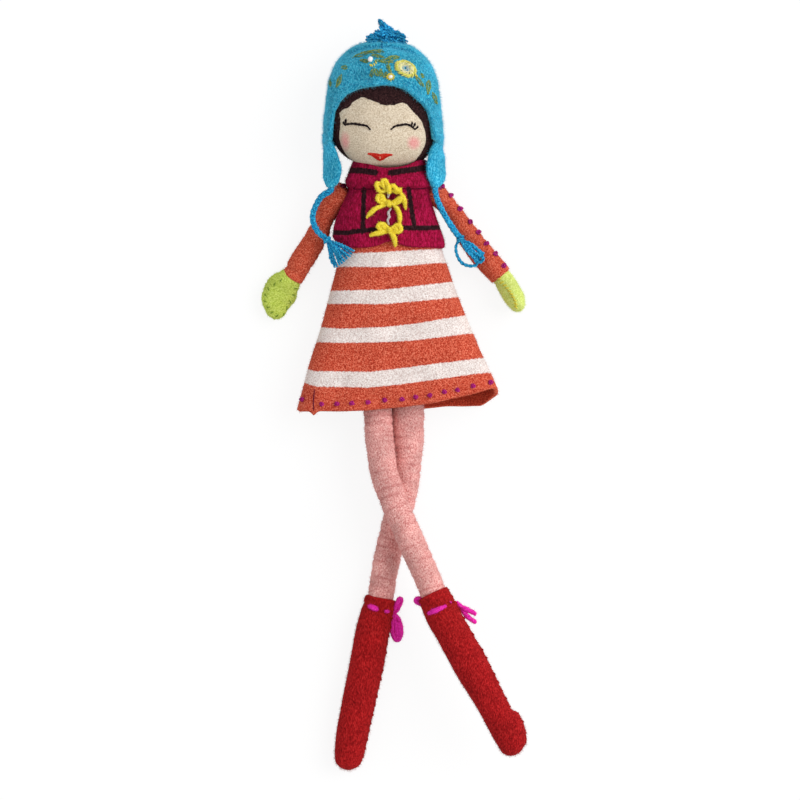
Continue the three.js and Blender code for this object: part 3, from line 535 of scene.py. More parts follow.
def stuffed(piece, seams, slack=0.04, most=1.0, pressure=8.0):
    """Presses the skin out from inside, as its stuffing does, while its seams hold it in. The
    skin has some slack, and no point moves further than the most, in millimetres."""
    mesh = piece.data
    before = [vertex.co.copy() for vertex in mesh.vertices]
    for vertex in mesh.vertices:
        vertex.co *= SIMULATION_SCALE
    group = piece.vertex_groups.new(name="seams")
    group.add(list(seams), 1.0, "REPLACE")
    cloth = piece.modifiers.new("stuffing", "CLOTH")
    cloth.settings.use_pressure = True
    cloth.settings.uniform_pressure_force = pressure
    cloth.settings.shrink_min = -slack
    cloth.settings.vertex_group_mass = "seams"
    cloth.settings.effector_weights.gravity = 0
    cloth.settings.quality = 4
    for number in range(1, SIMULATION_FRAMES + 1):
        scene.frame_set(number)
    graph = bpy.context.evaluated_depsgraph_get()
    after = [vertex.co / SIMULATION_SCALE for vertex in piece.evaluated_get(graph).data.vertices]
    piece.modifiers.remove(cloth)
    piece.vertex_groups.remove(group)
    scene.frame_set(1)
    for vertex, old, new in zip(mesh.vertices, before, after):
        shift = new - old
        shift *= min(1.0, most * MM / max(shift.length, 1e-9))
        vertex.co = old + shift
    mesh.update()


beige_knit = wool(
    "beige knit", (222, 205, 180), (240, 226, 205), (186, 166, 138), grain=0.7, patch=0.06,
    stitch=1.3,
)
torso_rings = []
for k in range(1, TORSO_RINGS):
    y = TORSO_BOTTOM + (TORSO_TOP - TORSO_BOTTOM) * (1 - math.cos(k / TORSO_RINGS * math.pi)) / 2
    end = (1 - abs(2 * (y - TORSO_BOTTOM) / (TORSO_TOP - TORSO_BOTTOM) - 1) ** 7) ** (1 / 7)
    half, depth = body_half_width(y) * end - TORSO_EASE, TORSO_DEPTH / 2 * end - TORSO_EASE
    centre = (spine_x(y), y, TORSO_Z)
    torso_rings.append(oval(centre, ACROSS, UP, half, depth, TORSO_SIDES, BODY_SQUARENESS))
torso_poles = [(spine_x(y), y, TORSO_Z) for y in (TORSO_BOTTOM + 0.1, TORSO_TOP - 0.1)]
torso = skin("torso_sack", torso_rings, torso_poles, [beige_knit])
stuffed(torso, [0, TORSO_SIDES // 2], most=TORSO_EASE)
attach(torso, "torso")
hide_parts("torso")

# Neck: a short stuffed tube of the same beige knit. Its round end is sewn into the torso, its
# other end into the head.
NECK = Vector((-4.5, 123, TORSO_Z))
NECK_RADIUS, NECK_SIDES = 7.8, 32
NECK_POLES = (-7.85, 7.9)  # the two ends, from the middle of its round end
neck_rings = []
for k in range(1, 12):
    angle = (1 - k / 11) * math.pi / 2
    radius = NECK_RADIUS * math.cos(angle) + 0.05
    centre = NECK - Vector((0, NECK_RADIUS * math.sin(angle), 0))
    neck_rings.append(oval(centre, ACROSS, UP, radius, radius, NECK_SIDES))
for rise in (2, 4, 6, 7.6):
    centre = NECK + Vector((0, rise, 0))
    neck_rings.append(oval(centre, ACROSS, UP, NECK_RADIUS, NECK_RADIUS, NECK_SIDES))
neck = skin(
    "neck_tube", neck_rings, [NECK + Vector((0, end, 0)) for end in NECK_POLES], [beige_knit]
)
count = len(neck_rings) * NECK_SIDES
stuffed(neck, range(count - NECK_SIDES, count), most=0.2)
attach(neck, "neck")
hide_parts("neck")

# Legs: long tubes of pink heathered knit, stuffed loosely, so that the knit gathers in rings. Each
# is sewn to the torso at the hip, and the right one lies over the left one.
LEG_SIDES = 36
LEG_GAP, LEG_ROOT, LEG_TIP = 0.8, 7.4, 3.0
LEG_TUCK = 0.055  # the share of its width that a gather draws in
LEG_ROUTES = {
    "right": (
        (-8.8, 13),
        [
            (377.5, 410), (380.3, 445), (384, 472), (391, 494), (401, 518), (411, 541),
            (422, 565), (434, 594), (442, 611),
        ],
    ),
    "left": (
        (10.6, 13),
        [
            (408.4, 405), (407.8, 440), (406.6, 470), (402, 500), (395, 525), (389, 550),
            (384, 575), (380, 601), (376, 619),
        ],
    ),
}
# The height of each hip, and how much a leg rises along its length.
LEG_HEIGHTS = {"right": (15.5, 0.1218), "left": (12.0, -0.0288)}
LEG_HALF = {
    "right": [7.4, 7.6, 7.6, 7.4, 7.4, 7.3, 7.3, 7.2, 7.0, 6.2],
    "left": [8.0, 8.9, 8.4, 7.7, 7.3, 7.2, 7.2, 7.1, 6.8, 6.0],
}


def tube_rings(stations, sides, gap, root, tip, squareness=2.0):
    """Rings along stations of (point, half width, half depth, roll in degrees if any), with a
    dome of a length at each end, the two poles, and the numbers of the rings between the domes."""
    line = line_through([Vector((*point, *sizes)) for point, *sizes in stations], gap)
    rings = []

    def ring(k, shift, scale):
        ahead, behind = line[min(k + 1, len(line) - 1)], line[max(k - 1, 0)]
        tangent = (ahead - behind).to_3d().normalized()
        side = tangent.cross(UP).normalized()
        up = side.cross(tangent)
        if len(line[k]) > 5:
            roll = math.radians(line[k][5])
            c, s = math.cos(roll), math.sin(roll)
            side, up = side * c + up * s, up * c - side * s
        centre = line[k].to_3d() + tangent * shift
        rings.append(
            oval(centre, side, up, line[k][3] * scale, line[k][4] * scale, sides, squareness)
        )
        return centre

    steps = max(2, round(max(root, tip, 1) / gap))
    first = ring(0, -root, 1e-3)
    rings.clear()
    for n in range(steps - 1, 0, -1):
        angle = n / steps * math.pi / 2
        ring(0, -root * math.sin(angle), math.cos(angle))
    for k in range(len(line)):
        ring(k, 0, 1)
    body = (steps - 1, steps - 1 + len(line))
    for n in range(1, steps):
        angle = n / steps * math.pi / 2
        ring(len(line) - 1, tip * math.sin(angle), math.cos(angle))
    last = ring(len(line) - 1, tip, 1e-3)
    rings.pop()
    return rings, (first, last), body


def leg_stations(side):
    hip, route = LEG_ROUTES[side]
    level, slope = LEG_HEIGHTS[side]
    points = [Vector((*hip, level))]
    for column, row in route:
        point = seen(column, row)
        point.z = points[-1].z + slope * (point.xy - points[-1].xy).length
        points.append(point)
    return [(point, half, half) for point, half in zip(points, LEG_HALF[side])]


def gathered(rings, sides, first, last, low, high, tuck):
    """Draws the knit in by a share of its width, over a part of its way round, at uneven
    distances. Gives the ring numbers, and for each point how far inside a gather it is, which
    the legs' knit darkens as painted shade."""
    tucks, crease_shades = [], [[-1.0] * sides for _ in rings]
    k = first
    while k < last:
        k += chance.randint(low, high)
        if k >= last:
            break
        pull, middle = tuck * chance.uniform(0.5, 1), chance.uniform(0, math.tau)
        spread, slant = chance.uniform(0.2, 0.9), chance.uniform(-1.2, 1.2)
        for near, strength in ((k - 1, 0.45), (k, 1.0), (k + 1, 0.45)):
            centre = sum(rings[near], Vector()) / sides
            onward = (rings[k + 1][0] - rings[k][0]).normalized()
            for i, point in enumerate(rings[near]):
                turn = i / sides * math.tau
                part = strength * smooth(math.cos(turn - middle), -spread, 1 - spread)
                drawn = centre + (point - centre) * (1 - pull * part)
                rings[near][i] = drawn + onward * slant * part * math.cos(turn)
                crease_shades[near][i] = max(crease_shades[near][i], 1.6 * part * pull / tuck - 1.0)
        tucks.append(k)
    return tucks, [value for ring in crease_shades for value in ring]


# The mark darkens the knit where it is gathered in: painted shade.
pink_knit = wool(
    "pink knit", (229, 161, 155), (252, 208, 200), (190, 106, 104), grain=0.6,
    mark=("crease", (208, 130, 126), (226, 160, 154), (182, 104, 102)), stitch=1.5, patch=0.14,
    streak=1.6, edge=0.8,
)
legs = {}
for side in ("right", "left"):
    rings, poles, (first, last) = tube_rings(
        leg_stations(side), LEG_SIDES, LEG_GAP, LEG_ROOT, LEG_TIP
    )
    tucks, crease_shades = gathered(rings, LEG_SIDES, first + 4, last - 2, 3, 7, LEG_TUCK)
    leg = skin(side + "_leg_stocking", rings, poles, [pink_knit], crease=crease_shades + [-1.0])
    held = [k * LEG_SIDES + i for k in tucks for i in range(LEG_SIDES)]
    stuffed(leg, held, slack=0.03, most=0.3)
    uneven(leg, 0.35, 9, 3 if side == "right" else 8)
    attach(leg, side + "_leg")
    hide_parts(side + "_leg")
    legs[side] = leg

# Boots: red felt, sewn up along one edge with whip stitches, gathered at the toe and stuffed round
# the end of the leg. The top edge stands open round the stocking.
BOOT_SIDES = 44
BOOT_POCKET, BOOT_GAP, BOOT_WALL = 22, 1.2, 1.0
BOOT_LEVEL, BOOT_DEPTH = 8.4, 8.9  # the left boot's middle, and half the most that one is deep
BOOT_TOP, BOOT_TIP, BOOT_SQUARENESS = 1.0, 6.0, 2.2
BOOT_STATIONS = {
    "right": [
        (433, 594, 8.4), (442.4, 613, 9.0), (457, 638, 9.1), (471.8, 665, 9.1), (486.6, 692, 8.2),
        (496.6, 711, 7.9), (505.2, 729, 7.8), (509.6, 742, 6.8),
    ],
    "left": [
        (380.5, 599, 8.0), (374.2, 628, 9.0), (367.8, 662, 9.2), (360.6, 697, 8.8),
        (353.8, 727, 8.6), (349.2, 750, 8.2), (347.6, 759, 7.6),
    ],
}
TOE_BULGE, TOE_WAY = 2.6, Vector((0.88, 0.3, 0))
TOE_ROWS = (712, 721), (742, 756)  # of the picture, where the right toe's bulge comes and goes
TOE_GATHERS, TOE_PULL = 9, 0.045
ANKLE = 8  # the number of a leg's point there
BOOT_THREAD = 1.15
red_felt = wool(
    "red felt", (164, 20, 24), (200, 44, 44), (118, 10, 14), grain=0.55, depth=0.6, patch=0.11,
    streak=3.0,
)


def pictured(point):
    """The column and row of the picture that a place lies under, looking straight down."""
    away = point - VIEW_MIDDLE
    return PICTURE_MIDDLE + away.x / PIXEL, PICTURE_MIDDLE - away.y / PIXEL


def boot_rings(side):
    """Rings of a boot: the right one goes on rising from the ankle, the left one lies level."""
    ankle = leg_stations(side)[ANKLE][0]
    stations = []
    for column, row, half in BOOT_STATIONS[side]:
        point = seen(column, row)
        rise = LEG_HEIGHTS[side][1] * (point.xy - ankle.xy).length
        point.z = ankle.z + rise if side == "right" else BOOT_LEVEL
        stations.append((point, half, min(half, BOOT_DEPTH)))
    return tube_rings(stations, BOOT_SIDES, BOOT_GAP, BOOT_TOP, BOOT_TIP, BOOT_SQUARENESS)


boots = {}
for side in ("right", "left"):
    outer, (_, toe), (first, _) = boot_rings(side)
    outer = outer[first:]
    sole = len(outer) - 1
    if side == "right":
        for ring in outer:
            row = pictured(sum(ring, Vector()) / BOOT_SIDES)[1]
            swell = TOE_BULGE * smooth(row, *TOE_ROWS[0]) * (1 - smooth(row, *TOE_ROWS[1]))
            for i in range(BOOT_SIDES):
                out = max(0.0, -math.cos(i / BOOT_SIDES * math.tau))
                ring[i] += TOE_WAY * swell * out
    for k in range(sole - 9, sole + 1):
        centre = sum(outer[k], Vector()) / BOOT_SIDES
        pull = TOE_PULL * smooth(k, sole - 10, sole - 2)
        for i, point in enumerate(outer[k]):
            gather = 1 + math.cos(TOE_GATHERS * i / BOOT_SIDES * math.tau)
            outer[k][i] = centre + (point - centre) * (1 - pull * gather)
    centres = [sum(ring, Vector()) / BOOT_SIDES for ring in outer]
    deepest = int(BOOT_POCKET / BOOT_GAP)
    pocket = []
    for k in range(deepest, -1, -2):
        radius = (outer[0][0] - centres[0]).length - BOOT_WALL
        axis = (centres[k + 1] - centres[k]).normalized()
        across = axis.cross(UP).normalized()
        pocket.append(oval(centres[k], across, across.cross(axis), radius, radius, BOOT_SIDES))
    lip = (centres[1] - centres[0]).normalized()
    rim = []
    for share in (0.25, 0.75):
        rim.append([mix(a, b, share) - lip * 0.5 for a, b in zip(pocket[-1], outer[0])])
    rings = pocket + rim + outer
    nap = [0.0] * (len(pocket) * BOOT_SIDES) + [1.0] * ((len(rings) - len(pocket)) * BOOT_SIDES)
    boot = skin(side + "_boot_felt", rings, (centres[deepest + 1], toe), [red_felt], nap=nap)
    seam_column = BOOT_SIDES // 2
    fixed = list(range((len(pocket) + 3) * BOOT_SIDES))
    fixed += [k * BOOT_SIDES + seam_column for k in range(len(pocket), len(rings), 3)]
    stuffed(boot, fixed, slack=0.03, most=0.7)
    uneven(boot, 0.4, 11, 4 if side == "right" else 6)
    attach(boot, side + "_leg")
    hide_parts(side + "_boot")
    boots[side] = boot
    oversewn = []
    for k in range(len(pocket) + 3, len(rings) - 5, 4):
        route = []
        for i in range(-4, 5):
            corner = boot.data.vertices[(k + i // 3) * BOOT_SIDES + seam_column + i]
            lift = 0.35 * math.cos(i / 4 * math.pi / 2) - 0.25
            route.append(corner.co / MM - ORIGIN + corner.normal * lift)
        oversewn.append(route)
    whipped = thread(side + "_boot_stitches", oversewn, BOOT_THREAD, red_felt, sides=6, taper=0.3)
    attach(whipped, side + "_leg")

# Dress: orange heathered knit, felted stiff, with four white bands knitted in. It is fitted over
# the torso, flares to the hem and lies flat on the table, and its front hem rises to the left.
DRESS_WALL, DRESS_TOP, HEM, HEM_WIDTH, HEM_RISE = 2.0, 121, -7, 108.4, 12.6
SKIRT_DEPTH, FIT, FLAT, VEST_HEM = 31.5, 0.3, 0.5, 82
SKIRT_SWELL, SKIRT_SQUARENESS, FOLD_DEPTH = 2.0, 3.0, 0.55
DRESS_SIDES, DRESS_ROWS = 180, 106
UNMARKED = -9.0  # for a point far outside a second colour
WHITE_BANDS = (
    ((345, 390, 440), (254, 252, 249), (267, 267.5, 263)),
    ((331, 385, 440, 458), (291, 290, 283.5, 281), (304, 304.3, 299.3, 297)),
    ((318, 340, 385, 415, 470), (327, 329, 327.3, 324, 314.5), (342, 343, 342.3, 340.5, 333.5)),
    (
        (304, 316, 370, 400, 485), (368.5, 371.3, 372, 368.5, 357.5),
        (382.5, 386.6, 387.5, 384.5, 372.5),
    ),
)
orange_knit = wool(
    "orange knit", (205, 78, 54), (236, 134, 106), (152, 40, 26),
    mark=("white_band", (238, 226, 221), (255, 250, 246), (204, 184, 178)), stitch=1.6, patch=0.08,
)
# The dress's inside is a darker copy of its knit: painted shade inside the skirt.
dress_shaded_inside = wool("dress inside", (172, 54, 34), (200, 80, 56), (120, 30, 20), stitch=1.6)


def dress_ring(y, wall):
    """Points of the dress at one level, for a wall grown so far."""
    inset = DRESS_WALL - wall
    share = clamp((WAIST - y) / (WAIST - HEM))
    bodice = TORSO_DEPTH / 2 + FIT + wall
    spread = smooth(VEST_HEM - y, 1, 14)
    back = mix(TORSO_Z - bodice, inset - FLAT, spread)
    front = mix(TORSO_Z + bodice, SKIRT_DEPTH - inset - FLAT, spread)
    half = mix(body_half_width(y) + FIT + wall, HEM_WIDTH / 2 - inset, share)
    centre, depth = (spine_x(y), y, (back + front) / 2), (front - back) / 2
    squareness = mix(BODY_SQUARENESS, SKIRT_SQUARENESS, share)
    ring = oval(centre, ACROSS, UP, half, depth, DRESS_SIDES, squareness)
    for i, point in enumerate(ring):
        angle = i / DRESS_SIDES * math.tau
        waves = math.sin(5 * angle + 0.6) + 0.6 * math.sin(11 * angle + y / 30)
        fold = FOLD_DEPTH * share * waves
        point.z += fold * math.sin(angle)
        point.x -= SKIRT_SWELL * smooth(share, 0.4, 0.75) * smooth(-math.cos(angle), 0.2, 1)
        low = smooth(WAIST - point.y, 20, WAIST - HEM)
        front_rise = HEM_RISE * clamp((point.x + 45) / 98) ** 2.4 - 1.5
        back_rise = 1.5 * smooth(point.x, 10, 35) + 4 * smooth(point.x, 47, 56)
        point.y += low * mix(back_rise, front_rise, smooth(point.z, 4, SKIRT_DEPTH - 8))
        if y < 1 and point.z > 10:
            point.y -= 2.2 * math.exp(-(((point.x + 44) / 1.6) ** 2)) * smooth(-y, -1, 7)
        point.z = max(point.z, 0.1 + inset)
    return ring


def along(stops, values, place):
    """The value at a place, on straight lines between values at rising stops."""
    for a, b, low, high in zip(stops, stops[1:], values, values[1:]):
        if place <= b:
            return mix(low, high, clamp((place - a) / (b - a)))
    return values[-1]


def band_depth(point):
    """How far inside a white band a place on the dress is, in millimetres."""
    column, row = pictured(point)
    depths = []
    for columns, tops, bottoms in WHITE_BANDS:
        top, bottom = along(columns, tops, column), along(columns, bottoms, column)
        depths.append(min(row - top, bottom - row))
    return PIXEL * max(depths)


levels = [DRESS_TOP - (DRESS_TOP - HEM) * k / DRESS_ROWS for k in range(DRESS_ROWS + 1)]
rings, bands, nap = [], [], []
for y in levels:
    rings.append(dress_ring(y, DRESS_WALL))
    bands += [band_depth(point) for point in rings[-1]]
    nap += [1.0] * DRESS_SIDES
rings.append([point - Vector((0, 0.7, 0)) for point in dress_ring(HEM, DRESS_WALL / 2)])
bands += [UNMARKED] * DRESS_SIDES
nap += [1.0] * DRESS_SIDES
for y in levels[::-2]:
    rings.append(dress_ring(y, 0.0))
    bands += [UNMARKED] * DRESS_SIDES
    nap += [0.0] * DRESS_SIDES
dress = skin(
    "dress_knit", rings, None, [orange_knit, dress_shaded_inside], shaded_inside=len(levels) + 1,
    white_band=bands, nap=nap,
)
uneven(dress, 0.5, 14, 2)
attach(dress, "torso")
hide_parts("dress")

# Vest: magenta knit with black bands worked into it, a folded yoke and a stand-up collar. It is
# worn over the dress and its two front edges meet in the middle.
VEST_TOP = 125
VEST_COLUMNS = 170
VEST_ROWS = 64
# At these levels, how far the vest stands out past the dress, and how far it is off the spine.
VEST_LEVELS = (82, 84, 85.2, 87.5, 92, 96.5, 102, 110, 113.4, 114.3, 116.6, 119, 122, 125)
VEST_FLARE = (0.4, 1.2, 1.7, 2.7, 2.9, 2.6, 2.0, 1.2, 0.6, 2.0, 2.6, 1.8, 0.7, -0.2)
VEST_SHIFT = (-0.3, -0.4, -0.7, -1.5, -2.0, -2.0, -1.6, -0.4, 0.4, 0.3, 0.0, 0.4, 0.9, 1.4)
VEST_WALL = 2.0
# How far the yoke stands out, and the levels where it comes and goes.
YOKE, YOKE_LEVELS = 2.2, ((113.2, 114.2), (116, 122))
OVERLAP = 0.03  # of the right front edge over the left one, as an angle
magenta_knit = wool(
    "magenta knit", (150, 10, 52), (182, 26, 80), (108, 6, 36), grain=0.8,
    mark=("black_band", (32, 16, 20), (56, 34, 38), (14, 8, 10)), stitch=1.8, patch=0.22,
    streak=3.0,
)


def vest_point(share, y, wall):
    """A place on the vest, by the share of its way round from the front opening."""
    angle = math.pi / 2 + mix(-OVERLAP, math.tau + OVERLAP, share)
    growth = 2 * FIT + DRESS_WALL + wall
    half = body_half_width(y) + growth + along(VEST_LEVELS, VEST_FLARE, y)
    depth = TORSO_DEPTH / 2 + growth
    c, s = math.cos(angle), math.sin(angle)
    power = 2 / BODY_SQUARENESS
    x = spine_x(y) + along(VEST_LEVELS, VEST_SHIFT, y) + math.copysign(abs(c) ** power, c) * half
    z = TORSO_Z + math.copysign(abs(s) ** power, s) * depth
    yoke = YOKE * smooth(y, *YOKE_LEVELS[0]) * (1 - smooth(y, *YOKE_LEVELS[1])) if wall else 0.0
    z += math.copysign(yoke, s) * abs(s) ** 0.3 + 0.7 * smooth(0.04 - share, 0, 0.04)
    rise = (4.6 * smooth(abs(c), 0.1, 0.95) - 0.6) * smooth(y, 112, VEST_TOP)
    if s > 0:
        rise += (3.4 * math.exp(-(((x + 2) / 7) ** 2)) - 0.8) * (1 - smooth(y, VEST_HEM, 90))
    return Vector((x, y + rise, max(z, 0.15 if wall else 0.3)))


# The last two bands, on the collar, are wider: they are black bands and partly painted shade under
# the chin.
BLACK_BANDS = (
    (1.35, (333, 232.5), (346, 233), (357, 231.3), (377, 229.2)),
    (1.35, (402, 227.7), (415, 228), (441.5, 227.6)),
    (1.35, (364, 189.5), (363.4, 210), (362.5, 232)),
    (1.35, (408.6, 189), (411, 206), (414.5, 228)),
    (1.7, (350, 170.5), (363, 170.8), (375, 172.5)),
    (1.7, (390.5, 173), (400, 171.3), (410, 170), (426, 167.5)),
)
BACK_BANDS, BACK_BAND_HALF = (121.2, 90.6), 1.35


def black_depth(point, y):
    """How far inside a black band a place on the vest is, in millimetres."""
    if point.z < TORSO_Z:
        return BACK_BAND_HALF - min(abs(y - level) for level in BACK_BANDS)
    best = UNMARKED
    for half, *band in BLACK_BANDS:
        for a, b in zip(band, band[1:]):
            a, b = seen(*a, point.z).xy, seen(*b, point.z).xy
            share = clamp((point.xy - a).dot(b - a) / (b - a).length_squared)
            best = max(best, half - (point.xy - mix(a, b, share)).length)
    return best


vest_levels = [mix(VEST_HEM, VEST_TOP, k / VEST_ROWS) for k in range(VEST_ROWS + 1)]
rings, blacks, nap = [], [], []
for column in range(VEST_COLUMNS + 1):
    share = column / VEST_COLUMNS
    loop, depths, naps = [], [], []
    for y in vest_levels:
        loop.append(vest_point(share, y, VEST_WALL))
        depths.append(black_depth(loop[-1], y))
        naps.append(1.0)
    loop.append(vest_point(share, VEST_TOP, VEST_WALL / 2) + Vector((0, 0.5, 0)))
    for y in vest_levels[::-2]:
        loop.append(vest_point(share, y, 0.0))
    loop.append(vest_point(share, VEST_HEM, VEST_WALL / 2) - Vector((0, 0.5, 0)))
    missing = len(loop) - len(depths)
    rings.append(loop)
    blacks += depths + [UNMARKED] * missing
    nap += naps + [0.0] * missing
ends = [sum(loop, Vector()) / len(loop) for loop in (rings[0], rings[-1])]
vest = skin("vest_knit", rings, ends, [magenta_knit], black_band=blacks, nap=nap)
uneven(vest, 0.45, 8, 5)
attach(vest, "torso")
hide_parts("vest")

# Arms: tubes of the dress's orange knit, stuffed and sewn to the shoulders, with magenta French
# knots along the left sleeve.
ARM_SIDES = 32
ARM_GAP, ARM_ROOT, ARM_TIP, ARM_TUCK = 1.0, 1.6, 1.2, 0.07
ARM_STATIONS = {
    "right": [
        ((-27.4, 112.6, 15), 6.6), (seen(331, 204, 13.6), 5.9), (seen(322.3, 222, 12.2), 5.4),
        (seen(317, 236, 11), 5.9), (seen(304.8, 256, 9.6), 6.3), (seen(292, 277.5, 8), 6.1),
    ],
    "left": [
        ((20.8, 112.6, 15), 6.4), (seen(449, 208, 13.6), 5.1), (seen(464.5, 231, 11.5), 5.9),
        (seen(480, 252, 9.6), 6.5), (seen(500, 275, 8), 6.1),
    ],
}
arms = {}
sleeve_knit = wool(
    "sleeve knit", (205, 80, 54), (234, 132, 104), (152, 42, 26), stitch=1.5, patch=0.1
)
for side, stations in ARM_STATIONS.items():
    stations = [(point, half, half) for point, half in stations]
    rings, poles, (first, last) = tube_rings(stations, ARM_SIDES, ARM_GAP, ARM_ROOT, ARM_TIP)
    tucks, _ = gathered(rings, ARM_SIDES, first + 6, last - 3, 5, 11, ARM_TUCK)
    arm = skin(side + "_arm_sleeve", rings, poles, [sleeve_knit])
    stuffed(arm, [k * ARM_SIDES + i for k in tucks for i in range(ARM_SIDES)], slack=0.03, most=0.4)
    uneven(arm, 0.4, 8, 7 if side == "right" else 9)
    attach(arm, side + "_arm")
    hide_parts(side + "_arm")
    arms[side] = arm

# Mittens: lime green felt, two layers sewn together round the edge and drawn over the ends of the
# sleeves. The right one lies flat, and the left one stands on its edge, in a lighter copy of the
# felt that is painted light.
MITTEN_SIDES = 36
MITTEN_STATIONS = {
    "right": [
        ((293, 275, 8), 5.4, 5.6), ((288.5, 280.5, 7.4), 7.2, 5.8),
        ((282.5, 288.5, 6.2), 9.0, 5.4), ((278, 299.5, 5.2), 8.9, 4.8),
        ((277.5, 309, 4.7), 6.7, 4.2), ((278.8, 314.5, 4.5), 4.4, 3.6),
    ],
    "left": [
        ((500.5, 275.5, 8), 4.5, 5.2), ((504.8, 282, 8.6), 4.7, 6.6),
        ((510, 290.5, 9.1), 4.8, 8.3), ((515, 299.5, 9.4), 4.6, 9.0),
        ((517.5, 304.5, 9.5), 3.9, 7.6),
    ],
}
MITTEN_GAP, MITTEN_TOP, MITTEN_SQUARENESS = 1.0, 0.6, 2.3
MITTEN_TIP = {"right": 2.0, "left": 3.4}
TABLE_CLEAR = 0.1  # of the lowest points over the table
lime_felt = wool(
    "lime felt", (198, 216, 92), (222, 236, 130), (160, 180, 62), grain=0.7, depth=0.5, patch=0.1
)
# A lighter copy of the lime felt: painted light on the left mitten.
lit_lime_felt = wool(
    "lit lime felt", (218, 232, 122), (236, 246, 160), (184, 202, 88), grain=0.7, depth=0.5,
    patch=0.1,
)
MITTEN_FELT = {"right": lime_felt, "left": lit_lime_felt}
mittens = {}
for side, stations in MITTEN_STATIONS.items():
    stations = [(seen(*place), width, depth) for place, width, depth in stations]
    rings, poles, _ = tube_rings(
        stations, MITTEN_SIDES, MITTEN_GAP, MITTEN_TOP, MITTEN_TIP[side], MITTEN_SQUARENESS
    )
    mitten = skin(side + "_mitten_felt", rings, poles, [MITTEN_FELT[side]])
    edge = 0 if side == "right" else MITTEN_SIDES // 4
    edges = (edge, edge + MITTEN_SIDES // 2)
    seams = [k * MITTEN_SIDES + i for k in range(0, len(rings), 2) for i in edges]
    seams += range(3 * MITTEN_SIDES)
    stuffed(mitten, seams, slack=0.05, most=0.8)
    uneven(mitten, 0.35, 5, 1 if side == "right" else 2)
    for vertex in mitten.data.vertices:
        vertex.co.z = max(vertex.co.z, TABLE_CLEAR * MM)
    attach(mitten, side + "_arm")
    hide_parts(side + "_mitten")
    mittens[side] = mitten

# Head: a ball of beige heathered knit, stuffed hard, fuller at the crown than at the jaw. The
# cheeks are rubbed on in pink.
HEAD_X, HEAD_Z = -6, 23.4
BROW, CROWN_HEIGHT, JAW_HEIGHT = 150, 40.3, 25.4
HEAD_HALF_WIDTH, HEAD_HALF_DEPTH = 28.5, 19.5
JAW_LEAN = 1.3
HEAD_SIDES, HEAD_ROWS = 96, 60
CHEEKS = ((-26.8, 139, 2.0, 4.0), (10.7, 138.2, 3.0, 3.1))


def head_x(y):
    return HEAD_X + JAW_LEAN * smooth(BROW - y, 4, JAW_HEIGHT)


def head_scale(y, growth, straight=False):
    """The share of the head's full width at a level, for a layer grown over it so far."""
    if straight and y < BROW:
        return 1.0
    reach, power = (CROWN_HEIGHT, 2.4) if y > BROW else (JAW_HEIGHT, 2.2)
    share = min(abs(y - BROW) / (reach + growth), 1.0)
    return (1 - share**power) ** (1 / power)


def head_ring(y, growth, sides, straight=False):
    scale = head_scale(y, growth, straight)
    half, depth = (HEAD_HALF_WIDTH + growth) * scale, (HEAD_HALF_DEPTH + growth) * scale
    middle = HEAD_X if straight else head_x(y)
    return oval((middle, y, HEAD_Z), ACROSS, UP, half, depth, sides)


def cheek_depth(point):
    if point.z < HEAD_Z:
        return UNMARKED
    return max(
        min(a, b) * (1 - math.hypot((point.x - x) / a, (point.y - y) / b)) for x, y, a, b in CHEEKS
    )


face_knit = wool(
    "face knit", (220, 203, 178), (240, 228, 208), (188, 168, 140), grain=0.7,
    mark=("cheek", (234, 164, 158), (244, 188, 182), (220, 140, 134)), patch=0.05, edge=1.3,
)
rings = []
for k in range(1, HEAD_ROWS):
    angle = (k / HEAD_ROWS - 0.5) * math.pi
    reach = CROWN_HEIGHT if angle > 0 else JAW_HEIGHT
    rings.append(head_ring(BROW + reach * math.sin(angle), 0, HEAD_SIDES))
head_poles = [(head_x(0), BROW - JAW_HEIGHT, HEAD_Z), (HEAD_X, BROW + CROWN_HEIGHT, HEAD_Z)]
cheeks = [cheek_depth(point) for ring in rings for point in ring]
head = skin("head_ball", rings, head_poles, [face_knit], cheek=cheeks + [UNMARKED] * 2)
stuffed(head, range(4 * HEAD_SIDES), slack=0.01, most=0.3)
uneven(head, 0.35, 12, 1)
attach(head, "head")
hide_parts("head")

# Hair: a cap of dark brown felt, sewn to the head, with two round lobes and a peak over the brow
# and a thin edge down beside the cheeks.
HAIR_MIDDLE = Vector((HEAD_X, 148, HEAD_Z))
HAIR_COLUMNS = 144
HAIR_ROWS = 34
HAIR_THIN = math.radians(228)  # the way round the face to its thin edge, under the right cheek
HAIRLINE = (
    (425, 142), (425.2, 137), (424, 130), (422.3, 124), (420.5, 120), (418, 117), (413, 112.5),
    (409, 108), (406, 104.5), (402, 103.5), (398, 104), (394, 106.3), (391, 105.5), (386, 106),
    (381, 105), (377, 103), (373, 101.5), (368, 99.5), (364, 97.5), (360, 98.5), (356, 100.5),
    (352, 103.5), (349, 108), (343, 110), (340, 113), (341, 120), (340.5, 128), (339, 135),
    (340, 141),
)
brown_felt = wool(
    "brown felt", (45, 24, 26), (74, 46, 46), (22, 10, 12), grain=0.8, depth=0.6, patch=0.1
)


def on_head(direction, growth):
    """The place where a direction from the middle of the head leaves a layer over it."""
    near, far = 5.0, 60.0
    for _ in range(26):
        reach = (near + far) / 2
        point = HAIR_MIDDLE + direction * reach
        scale = head_scale(point.y, growth)
        across = (point.x - head_x(point.y)) / (HEAD_HALF_WIDTH + growth)
        deep = (point.z - HEAD_Z) / (HEAD_HALF_DEPTH + growth)
        if math.hypot(across, deep) < scale:
            near = reach
        else:
            far = reach
    return HAIR_MIDDLE + direction * near


